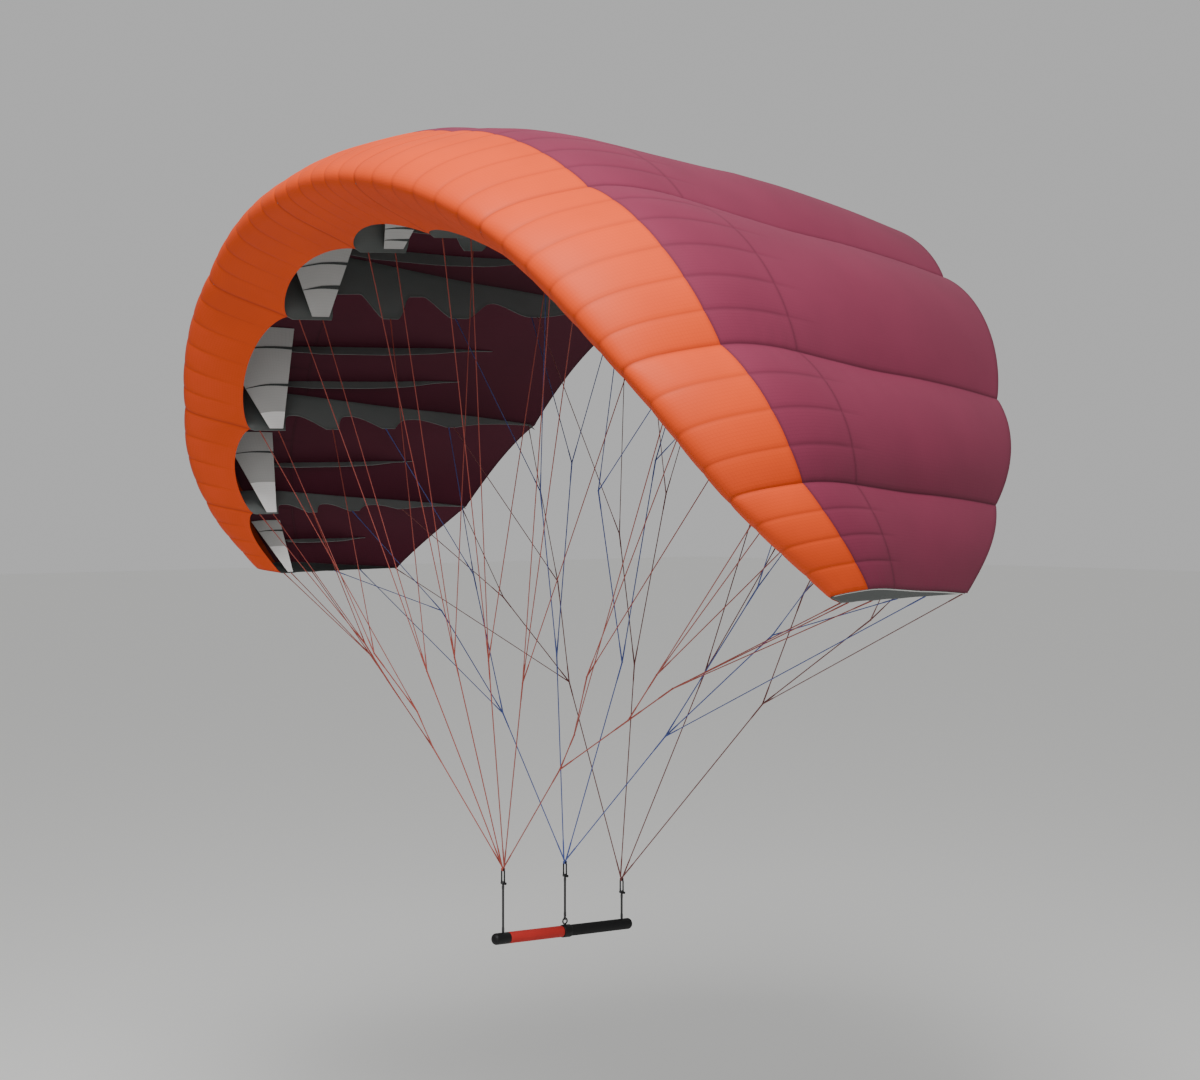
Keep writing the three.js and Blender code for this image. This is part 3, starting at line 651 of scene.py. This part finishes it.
def build_rib(index, side, node):
    grid, level = rib_grid(index, side)
    hems = np.exp(-(level / RIB_HEMS["lower"]) ** 2) + np.exp(-((1 - level) / RIB_HEMS["upper"]) ** 2)
    seam = np.tile(RIB_HEMS["strength"] * hems, (len(grid), 1))
    layers = [sheet_layer(grid, RIB_THICK, seam=seam, centred=True)]
    if index == TIP:
        layers.append(binding_layer(grid, index, side))
    piece = build_layers(node + "_web", layers, [tip_nylon if index == TIP else rib_nylon, pale_nylon])
    dress(piece, node)


for number, node in enumerate(RIB_NODES):
    build_rib(number % len(RIBS), SIDES[number // len(RIBS)][1], node)

# %% [markdown]
# A slanting panel leans from the foot of a rib to the top cloth in the next cell, and keeps the
# section from tipping over. It is cut from pale cloth, with a doubled patch at its foot, and narrow
# dark tapes cross it where the short fins meet it. The panel is a straight web, so it is a grid
# between its two edges, with a thin layer for each tape: its share of the height, and half its width.

# %% Slanting panels
PANEL = dict(foot_from=0.179, foot_to=0.215, foot_up=-0.022, head_to=0.290, off_rib=2.1)
PANEL_HEAD_FROM = (0.15, 0.10, 0.09, 0.14, 0.16)
PANEL_HEAD_ACROSS = (0.42, 0.42, 0.41, 0.57, 0.58)
PANEL_THICK = 1.0
PANEL_COLUMNS = 9
PANEL_ROWS = 25
PATCH_SHARE = (0.0, 0.0, 0.165, 0.36, 0.5)
TAPES = (
    ((0.08, 3.5), (0.185, 3.5)),
    ((0.255, 6.0), (0.46, 4.0)),
    ((0.43, 4.0), (0.80, 4.0)),
    ((0.75, 3.0),),
    ((0.8, 3.0),),
)
TAPE = dict(thick=0.6, proud=1.1, narrow=0.15)
INNER_GAP = 3.5


def cell_inside(index, side, share):
    middle = len(CELLS) - 1
    return (middle - index, share) if side < 0 else (middle + index, 1 - share)


def panel_grid(index, side):
    rib = RIBS[index]
    q = np.linspace(0, 1, PANEL_COLUMNS)
    foot = rib_points(rib, side, PANEL["foot_from"] + (PANEL["foot_to"] - PANEL["foot_from"]) * q,
                      np.full(len(q), PANEL["foot_up"])) - out_of_wing(rib, side) * PANEL["off_rib"]
    cell, share = cell_inside(index, side, PANEL_HEAD_ACROSS[index])
    head_from = PANEL_HEAD_FROM[index]
    rows = top_row(head_from + (PANEL["head_to"] - head_from) * q)[None]
    head = cloth_points(np.array([cell]), np.array([share]), rows, lowered=CLOTH_THICK + INNER_GAP)[0][0]
    h = np.linspace(0, 1, PANEL_ROWS)[None, :, None]
    return foot[:, None] * (1 - h) + head[:, None] * h


def tape_layers(grid, index):
    normals = grid_normals(grid)
    room = -1 if np.sum(normals * grid) > 0 else 1
    run = grid[:, -1] - grid[:, 0]
    run /= np.linalg.norm(run, axis=-1, keepdims=True)
    half = np.linspace(TAPE["narrow"], 1.0, PANEL_COLUMNS)[:, None]
    layers = []
    for share, half_width in TAPES[index]:
        below, mix = divmod(share * (PANEL_ROWS - 1), 1)
        below = int(below)
        line = grid[:, below] * (1 - mix) + grid[:, below + 1] * mix
        line += normals[:, below] * room * TAPE["proud"]
        edges = [line - run * half * half_width, line + run * half * half_width]
        layers.append(sheet_layer(np.stack(edges, axis=1), TAPE["thick"], 2, 2, centred=True))
    return layers


def build_panel(index, side, node):
    grid = panel_grid(index, side)
    cloth = sheet_layer(grid, PANEL_THICK, centred=True)
    rows = PANEL_ROWS - 1
    number = np.arange(len(cloth["faces"]))
    on_faces = number < 2 * rows * (PANEL_COLUMNS - 1)
    cloth["finish"][on_faces & (number % rows < round(PATCH_SHARE[index] * rows))] = 1
    piece = build_layers(node + "_cloth", [cloth, *tape_layers(grid, index)],
                         [pale_nylon, patch_nylon, tip_nylon])
    dress(piece, node)


for hand, side in SIDES:
    for index in range(len(RIBS)):
        build_panel(index, side, f"slant_panel_{index + 1}_{hand}")

# %% [markdown]
# Fins are narrow strips that hang from the top cloth between the ribs and stiffen it. Each is
# deepest in its front half and tapers to a point at the rear. A fin's grid hangs from the cloth's
# own formula, so it follows the swell and can't part from it.

# %% Fins
FIN_START = 0.285
FIN_PROFILE = dict(share=(0, 0.15, 0.45, 0.7, 0.86, 1), depth=(26, 40, 40, 31, 12, 2))
FIN_STEPS = 36
FIN_LEVELS = 4
FIN_GAP = 1.0
FIN_THICK = 1.0


def build_fin(index, side, fin, node):
    first, last, end = fin
    q = np.linspace(0, 1, FIN_STEPS)
    cells = np.full(FIN_STEPS, cell_inside(index, side, 0.5)[0])
    shares = np.array([cell_inside(index, side, s)[1] for s in first + (last - first) * q])
    rows = top_row(FIN_START + (end - FIN_START) * q)[:, None]
    depth = np.interp(q, FIN_PROFILE["share"], FIN_PROFILE["depth"])
    levels = []
    for level in range(FIN_LEVELS):
        lowered = CLOTH_THICK + FIN_GAP + (depth * level / (FIN_LEVELS - 1))[:, None]
        levels.append(cloth_points(cells, shares, rows, lowered=lowered)[0][:, 0])
    grid = np.stack(levels, axis=1)
    piece = build_layers(node + "_strip", [sheet_layer(grid, FIN_THICK, centred=True)], [rib_nylon])
    dress(piece, node)


for hand, side in SIDES:
    for index, cell in enumerate(CELLS):
        for fin, letter in zip(cell["fins"], "ab"):
            build_fin(index, side, fin, f"fin_{index + 1}{letter}_{hand}")

# %% [markdown]
# The lines are braided polyethylene, one to one and a half millimetres thick, pulled straight by
# the air's force. They are drawn two and a half and three millimetres thick, because a pixel covers
# some 4 mm and thinner ones would fade. A knot is where lines are spliced into each other: its name,
# the place below it and where it lies. An end is the knot below it, its rib and its share of the
# chord.

# %% Tables of the lines
LINE_SETS = dict(
    front=dict(
        knots=dict(
            A1=("foot", 267, -239, 490), A2=("foot", 202, -305, 705), A3=("foot", 72, -311, 752),
            K1=("A1", 330, -246, 583), K2=("A1", 490, -214, 630), K3=("K2", 606, -229, 749),
            K4=("K2", 627, -198, 716), K5=("K1", 447, -307, 738),
        ),
        ends=[
            ("A3", 0, 0.150), ("A3", 0, 0.200), ("A3", 0, 0.352), ("A2", 1, 0.150), ("A2", 1, 0.200),
            ("A2", 1, 0.352), ("K1", 2, 0.150), ("K5", 2, 0.200), ("K5", 2, 0.352), ("K3", 3, 0.150),
            ("K3", 3, 0.200), ("K3", 3, 0.352), ("K4", 4, 0.150), ("K4", 4, 0.200), ("K4", 4, 0.352),
        ],
    ),
    centre=dict(
        knots=dict(
            C1=("foot", 335, 57, 553), C2=("foot", 135, 89, 728), J1=("C2", 120, 18, 1184),
            J2=("C2", 172, 176, 1266), J3=("C1", 580, 139, 940), J4=("C1", 676, 91, 830),
        ),
        ends=[
            ("J1", 0, 0.508), ("J1", 1, 0.508), ("J2", 0, 0.706), ("J2", 1, 0.706), ("J3", 2, 0.508),
            ("J3", 2, 0.706), ("J4", 3, 0.508), ("J4", 4, 0.517), ("C1", 4, 0.706),
        ],
    ),
    rear=dict(
        knots=dict(
            R1=("foot", 395, 356, 619), R2=("foot", 145, 391, 686), M1=("R2", 190, 560, 1180),
            M2=("R2", 330, 500, 1060), M3=("R1", 500, 400, 915), M4=("R1", 742, 380, 858),
        ),
        ends=[
            ("M1", 0, 0.722), ("M1", 0, 0.975), ("M2", 1, 0.722), ("M2", 1, 0.975), ("M3", 2, 0.722),
            ("M3", 2, 0.975), ("M4", 3, 0.714), ("M4", 3, 0.975), ("R1", 4, 0.975),
        ],
    ),
)
ROWS = dict(
    front=dict(y=-208, top=198, bar_top=29.9, slot="red_line"),
    centre=dict(y=4, top=188, bar_top=36.3, slot="blue_line"),
    rear=dict(y=210, top=113, bar_top=0.7, slot="dark_red_line"),
)
LINE_RADIUS = dict(main=1.5, upper=1.25)
SPLICE = dict(length=55, thicker=1.35)
print("line ends on each side:", sum(len(entry["ends"]) for entry in LINE_SETS.values()))

# %% [markdown]
# The lines are polyethylene fibre, dyed and braided over a core, and the straps are braided
# polyester cord. A braid shows as fine slanting ridges, matt with a slight sheen. At this size they
# only break up the highlight, so they are a bump of about one pick, 1.1 mm.

# %% Braided line and cord
BRAID_MM = 10 / 9


def braided_line(name, colour):
    material, tree, shader = start_material(name, 0.55, Sheen_Weight=0.2)
    dyed, picks, _ = mottle(tree, colour, BRAID_MM, 2.0, 0.82, 1.12)
    join_relief(tree, shader, dyed, picks, 0.5, 0.3)
    return material


line_finish = dict(
    front=braided_line("braided_polyethylene_red", "#8A2C1C"),
    centre=braided_line("braided_polyethylene_blue", "#2C4086"),
    rear=braided_line("braided_polyethylene_dark_red", "#642420"),
)
black_cord = braided_line("polyester_cord_black", "#141416")
print("line finishes:", len(line_finish))

# %% [markdown]
# The bar's grips are EVA foam, moulded with closed cells: dead matt, with pores of 1 to 2 mm and
# paler and darker places where hands rub it. The cap and the band are moulded rubber, a little
# smoother. One function makes both, as cells of a Voronoi texture in a bump.

# %% Foam and rubber
WEAR_MM = 100 / 3


def moulded_foam(name, colour, pore_mm, roughness):
    material, tree, shader = start_material(name, roughness, Specular_IOR_Level=0.25)
    dyed, _, place = mottle(tree, colour, WEAR_MM, 4.0, 0.85, 1.15)
    pores = add(tree, "ShaderNodeTexVoronoi", {"Vector": place, "Scale": texture_scale(pore_mm)})
    join_relief(tree, shader, dyed, pores.outputs["Distance"], 0.5, 0.4)
    return material


red_foam = moulded_foam("eva_foam_red", "#A0221E", 1.6, 0.7)
black_foam = moulded_foam("eva_foam_black", "#0A0A0B", 1.6, 0.7)
black_rubber = moulded_foam("moulded_rubber_black", "#080809", 2.5, 0.55)
print("grip finishes:", red_foam.name, black_foam.name, black_rubber.name)

# %% [markdown]
# The shackles and the eye are stainless steel, blackened in an oxide bath. The oxide hides most of
# the metal's shine, so only part of the finish is metallic, and it is never quite even: cloudy
# patches some 5 mm wide are lighter and darker.

# %% Blackened steel
OXIDE_CLOUD_MM = 50 / 9
steel, steel_tree, steel_shader = start_material("blackened_stainless_steel", 0.5, Metallic=0.3,
                                                 Specular_IOR_Level=0.3)
oxide = mottle(steel_tree, "#161618", OXIDE_CLOUD_MM, 5.0, 0.7, 1.3)[0]
steel_tree.links.new(oxide, steel_shader.inputs["Base Color"])
print("fittings:", steel.name)

# %% [markdown]
# Lines, straps, bows and pins are all round stock along a path. A Blender curve with a bevel could
# draw each of them. Rings of points joined by quads are used instead, because a whole branched set
# becomes one mesh, and its thickness can change along the way.

# %% Tubes along straight or bent paths
SPLICE_EASE = 0.8
BALL_RINGS = 7


def tube(points, radii, sides, helper=None):
    points = np.asarray(points, float)
    run = np.gradient(points, axis=0)
    run /= np.linalg.norm(run, axis=1, keepdims=True)
    if helper is None:
        helper = (0.31, 0.17, 0.93) if abs(run[0][2]) < 0.9 else (0.95, 0.2, 0.1)
    side = np.cross(run, helper)
    side /= np.linalg.norm(side, axis=1, keepdims=True)
    other = np.cross(run, side)
    turn = np.arange(sides) * TURN / sides
    ring = np.cos(turn)[None, :, None] * side[:, None] + np.sin(turn)[None, :, None] * other[:, None]
    vertices = (points[:, None] + ring * np.asarray(radii, float)[:, None, None]).reshape(-1, 3)
    faces = []
    for k in range(len(points) - 1):
        for j in range(sides):
            a, b = k * sides + j, k * sides + (j + 1) % sides
            faces.append((a, b, b + sides, a + sides))
    faces.append(tuple(range(sides))[::-1])
    faces.append(tuple(range(len(vertices) - sides, len(vertices))))
    return vertices, faces


def ring(centre, radius, wire, axis, around=32, sides=10):
    first, second = [np.eye(3)[k] for k in range(3) if k != axis]
    out = np.eye(3)[axis]
    t = (np.arange(around) * TURN / around)[:, None, None]
    a = (np.arange(sides) * TURN / sides)[None, :, None]
    radial = np.cos(t) * first + np.sin(t) * second
    vertices = np.asarray(centre) + radial * (radius + wire * np.cos(a)) + out * wire * np.sin(a)
    at = np.arange(around * sides).reshape(around, sides)
    turned_on, next_side = np.roll(at, -1, axis=0), np.roll(at, -1, axis=1)
    faces = quads(at, next_side, np.roll(turned_on, -1, axis=1), turned_on)
    return vertices.reshape(-1, 3), faces.tolist()


def join_parts(parts):
    vertices, faces, offset = [], [], 0
    for points, polygons in parts:
        vertices.append(points)
        faces += [tuple(i + offset for i in polygon) for polygon in polygons]
        offset += len(points)
    return np.concatenate(vertices), faces


def spliced_line(a, b, radius):
    a, b = np.asarray(a, float), np.asarray(b, float)
    length = np.linalg.norm(b - a)
    reach = min(SPLICE["length"], length / 3) / length
    shares = [0, reach * SPLICE_EASE, reach, 1 - reach, 1 - reach * SPLICE_EASE, 1]
    thick = radius * SPLICE["thicker"]
    return tube([a + (b - a) * s for s in shares], [thick, thick, radius, radius, thick, thick], 7)


def ball(centre, radius):
    turn = np.linspace(0, np.pi, BALL_RINGS)
    heights = [np.asarray(centre) + np.array([0, 0, -radius * math.cos(t) * 0.999]) for t in turn]
    return tube(heights, [max(radius * math.sin(t), 0.05) for t in turn], 10)


print("points of a spliced line:", len(spliced_line((0, 0, 0), (0, 0, 500), LINE_RADIUS["main"])[0]))

# %% [markdown]
# A set starts with a loop round the shackle's bow and a foot knot above it. Each main line runs
# from the place below it to its own knot, with a splice at both ends, where its tail is buried in
# its core and makes it thicker. Each upper line is tied to a rib's tab with a small knot.

# %% Line sets
SHACKLE = dict(width=16, height=42, bar=4.4, pin=1.8, reach=12, head=3.4)
LINE_END_GAP = 0.4
LINE_FOOT = dict(side=4.6, above=5.2)
FOOT_LOOP = dict(aside=1.9, radius=3.9, wire=1.4, under=0.2, neck=(1.9, 2.1))
KNOT_RADIUS = 2.6
TIE = dict(radius=2.1, below=5)


def tie_point(index, side, along):
    tab = next((t for t in TABS if along <= t["end"]), None)
    rib = RIBS[index]
    up = tab["up"] if tab else -RIB_REAR_DROP / rib["chord"]
    return rib_points(rib, side, np.array(along), np.array(up))


def line_foot(place, side):
    foot = np.array([side * LINE_FOOT["side"], place["y"], place["top"] + LINE_FOOT["above"]])
    bow_height = place["top"] - SHACKLE["bar"] / 2 - FOOT_LOOP["under"]
    bow = np.array([side * FOOT_LOOP["aside"], place["y"], bow_height])
    parts = [ball(foot, KNOT_RADIUS), ring(bow, FOOT_LOOP["radius"], FOOT_LOOP["wire"], 0),
             tube([bow + (0, 0, FOOT_LOOP["radius"]), foot], FOOT_LOOP["neck"], 8)]
    return foot, parts


def build_lines(row, side, hand):
    entry, total = LINE_SETS[row], 0
    foot, parts = line_foot(ROWS[row], side)
    points = dict(foot=foot)
    for key, (lower, x, y, z) in entry["knots"].items():
        points[key] = np.array([side * x, y, z], float)
        total += np.linalg.norm(points[key] - points[lower])
        parts += [spliced_line(points[lower], points[key], LINE_RADIUS["main"]),
                  ball(points[key], KNOT_RADIUS)]
    for lower, index, along in entry["ends"]:
        run = tie_point(index, side, along) - points[lower]
        length = np.linalg.norm(run)
        total += length
        stop = points[lower] + run * (1 - LINE_END_GAP / length)
        parts.append(spliced_line(points[lower], stop, LINE_RADIUS["upper"]))
        parts.append(ball(stop - TIE["below"] * run / length, TIE["radius"]))
    piece = link_mesh(f"{row}_lines_{hand}_braid", *join_parts(parts), [line_finish[row]])
    dress(piece, f"{row}_lines_{hand}")
    print(f"{piece.name}: {len(entry['ends'])} ends, {total * MM:.1f} m of line")


for row in LINE_SETS:
    for hand, side in SIDES:
        build_lines(row, side, hand)

# %% [markdown]
# A shackle is a bow of round steel closed by a pin with a round head. Its path goes up one leg,
# round the bow and down the other, and the wire thickens to an eye at each foot, where the pin
# goes through.

# %% Shackles
SHACKLE_WIRE = dict(foot=1.12, rest=0.95)
LEG_STEPS = 6
BOW_STEPS = 13


def pin_height(place):
    return place["top"] - SHACKLE["height"] + SHACKLE["head"]


def build_shackle(row):
    place, s = ROWS[row], SHACKLE
    middle, outer = s["width"] / 2 - s["bar"] / 2, s["width"] / 2
    arc = [(middle * math.cos(a), middle * math.sin(a) - outer) for a in np.linspace(np.pi, 0, BOW_STEPS)]
    legs = [(-middle, z) for z in np.linspace(-s["height"], -outer, LEG_STEPS)[:-1]]
    path = legs + arc + [(-x, z) for x, z in reversed(legs)]
    points = [(x, place["y"], place["top"] + z) for x, z in path]
    feet = (0, 1, len(path) - 2, len(path) - 1)
    width = [s["bar"] / 2 * SHACKLE_WIRE["foot" if k in feet else "rest"] for k in range(len(path))]
    pin_z = pin_height(place)
    pin = tube([(x, place["y"], pin_z) for x in (-outer - 1, s["reach"] - 1)], [s["pin"]] * 2, 12)
    head_x = (outer + 0.6, outer + 1.0, s["reach"] - 0.6, s["reach"])
    head = tube([(x, place["y"], pin_z) for x in head_x], np.array([0.85, 1, 1, 0.8]) * s["head"], 16)
    bow = tube(points, width, 12, (0, 1, 0))
    piece = link_mesh(f"{row}_shackle_steel", *join_parts([bow, pin, head]), [steel])
    dress(piece, f"{row}_shackle")


for row in ROWS:
    build_shackle(row)
print("shackles:", len(ROWS), "each", SHACKLE["height"], "mm tall")

# %% [markdown]
# The strap below a shackle is a stiff black cord, sewn to itself with a loop round the pin and one
# round the bar or its eye. It is thicker where the cord is doubled, at both ends.

# %% Straps
STRAP_RADIUS = 3.6
STRAP_RISES = (0, 4, 8, 12, 16)
STRAP_FALLS = (14, 10, 5, 0)
STRAP_WIDTHS = (0.8, 1.0, 1.0, 0.95, 0.85, 0.85, 0.95, 1.0, 0.7)
STRAP_LOOP = dict(radius=3.5, wire=1.5, eye_radius=3.8, above_eye=1.2, in_grip=0.2)
EYE = dict(radius=7.5, wire=2, centre=26.7)


def build_strap(row):
    place = ROWS[row]
    at_eye = row == "centre"
    pin_z = pin_height(place)
    low = place["bar_top"] + (STRAP_LOOP["above_eye"] if at_eye else -STRAP_LOOP["in_grip"])
    high = pin_z - STRAP_LOOP["radius"]
    heights = [low + rise for rise in STRAP_RISES] + [high - fall for fall in STRAP_FALLS]
    parts = [tube([(0, place["y"], z) for z in heights], STRAP_RADIUS * np.array(STRAP_WIDTHS), 14),
             ring((0, place["y"], pin_z), STRAP_LOOP["radius"], STRAP_LOOP["wire"], 0)]
    if at_eye:
        eye_top = EYE["centre"] + EYE["radius"]
        parts.append(ring((0, place["y"], eye_top), STRAP_LOOP["eye_radius"], STRAP_LOOP["wire"], 1))
    piece = link_mesh(f"{row}_strap_cord", *join_parts(parts), [black_cord])
    dress(piece, f"{row}_strap")
    print(f"{piece.name}: {pin_z - low:.0f} mm")


for row in ROWS:
    build_strap(row)

# %% [markdown]
# The bar is a light tube inside foam grips, red in front and black behind, with a rubber cap on
# its front end and a wider band near its middle that carries the eye. Each piece is turned: one
# profile of radii and stations goes round the bar's axis, which drops a little to the rear.

# %% Bar
BAR_DROP = math.radians(4.0)
BAR = dict(radius=15, band=17, front=-243, red=-190, band_from=-7, band_to=21, rear=244, gap=0.2)
BAR_SIDES = 40
CAP_EDGE = dict(along=2, down=1.2)
EDGE_EASE = 1.6
DOME_SHARE = 0.75
DOME_STEPS = 7


def turned(name, node, profile, finish):
    axis = np.array([0, math.cos(BAR_DROP), -math.sin(BAR_DROP)])
    points = [axis * station for _, station in profile]
    piece = link_mesh(name, *tube(points, [max(r, 0.1) for r, _ in profile], BAR_SIDES), [finish])
    dress(piece, node)


def dome(radius, end, direction):
    turns = np.linspace(0, np.pi / 2, DOME_STEPS)
    return [(radius * math.sin(t), end - direction * radius * DOME_SHARE * (1 - math.cos(t)))
            for t in turns]


def soft_edges(radius, start, end, ease=EDGE_EASE):
    return [(radius - ease, start), (radius - ease * 0.3, start + ease * 0.5), (radius, start + ease * 1.4),
            (radius, end - ease * 1.4), (radius - ease * 0.3, end - ease * 0.5), (radius - ease, end)]


r, gap = BAR["radius"], BAR["gap"]
cap_end = BAR["red"] - gap
turned("front_cap_rubber", "bar_front_cap",
       dome(r, BAR["front"], -1) + [(r, cap_end - CAP_EDGE["along"]), (r - CAP_EDGE["down"], cap_end)],
       black_rubber)
turned("red_grip_foam", "bar_red_grip",
       soft_edges(r, BAR["red"] + gap, BAR["band_from"] - gap), red_foam)
turned("middle_band_rubber", "bar_middle_band",
       soft_edges(BAR["band"], BAR["band_from"] + gap, BAR["band_to"] - gap), black_rubber)
turned("black_grip_foam", "bar_black_grip",
       soft_edges(r, BAR["band_to"] + gap, BAR["rear"] - r)[:3] + dome(r, BAR["rear"], 1)[::-1],
       black_foam)
print("bar:", BAR["rear"] - BAR["front"], "mm long,", 2 * r, "mm thick")

# %% [markdown]
# The eye is a ring of steel rod with a small foot, set into the middle band. The centre strap's
# loop goes through it.

# %% Eye
EYE_FOOT = ((16.95, 4.2), (17.5, 3.6), (19.4, 2.0))
eye_y = ROWS["centre"]["y"]
eye_ring = ring((0, eye_y, EYE["centre"]), EYE["radius"], EYE["wire"], 0, 40, 14)
eye_foot = tube([(0, eye_y, z) for z, _ in EYE_FOOT], [radius for _, radius in EYE_FOOT], 20)
eye = link_mesh("eye_steel", *join_parts([eye_ring, eye_foot]), [steel])
dress(eye, "bar_eye")
print("eye:", 2 * (EYE["radius"] + EYE["wire"]), "mm across")

# %% [markdown]
# The floor lies where the flyer would stand, well below the bar, and runs out of sight: matt paper,
# with no pattern to see. The room is evenly pale from every side. The key lamp is a large soft
# panel, high at the front and a little to the right. It hangs close to the wing, so the floor gets
# less of it and the underside stays dark. A weak wide sun from the right fills the shadows.

# %% Floor
FLOOR_Z = -1350
FLOOR_HALF = 60000
corners = [(x * FLOOR_HALF, y * FLOOR_HALF, FLOOR_Z) for x, y in ((-1, -1), (1, -1), (1, 1), (-1, 1))]
paper = start_material("matt_paper", 0.95, Specular_IOR_Level=0.1, Base_Color=linear("#F2F2F0"))[0]
link_mesh("floor", corners, [(0, 1, 2, 3)], [paper])
print("floor", -FLOOR_Z, "mm below the bar")

# %% [markdown]
# Each lamp is aimed by the way from the wing's centre to it, so a change of its angle never moves
# the light off the wing.

# %% Light
ROOM_LIGHT = 0.5
KEY = dict(watts=375, way=(0.47, -0.5, 0.73), distance=4.6, size=1.6)
FILL = dict(strength=0.5, angle=25, way=(0.75, -0.62, 0.2))
WING_CENTRE = Vector((0, 0.1, 1.45))

world = bpy.data.worlds.new("world")
bpy.context.scene.world = world
world.use_nodes = True
room = world.node_tree.nodes["Background"].inputs
room["Color"].default_value = (1, 1, 1, 1)
room["Strength"].default_value = ROOM_LIGHT


def add_lamp(name, kind, way, place):
    lamp = bpy.data.objects.new(name, bpy.data.lights.new(name, kind))
    lamp.location = place
    lamp.rotation_euler = Vector(way).to_track_quat("Z", "Y").to_euler()
    bpy.context.scene.collection.objects.link(lamp)
    return lamp.data


key = add_lamp("key", "AREA", KEY["way"], WING_CENTRE + Vector(KEY["way"]) * KEY["distance"])
key.energy = KEY["watts"]
key.size = KEY["size"]
fill = add_lamp("fill", "SUN", FILL["way"], (0, 0, 0))
fill.energy = FILL["strength"]
fill.angle = math.radians(FILL["angle"])
print("lamps:", len(bpy.data.lights))
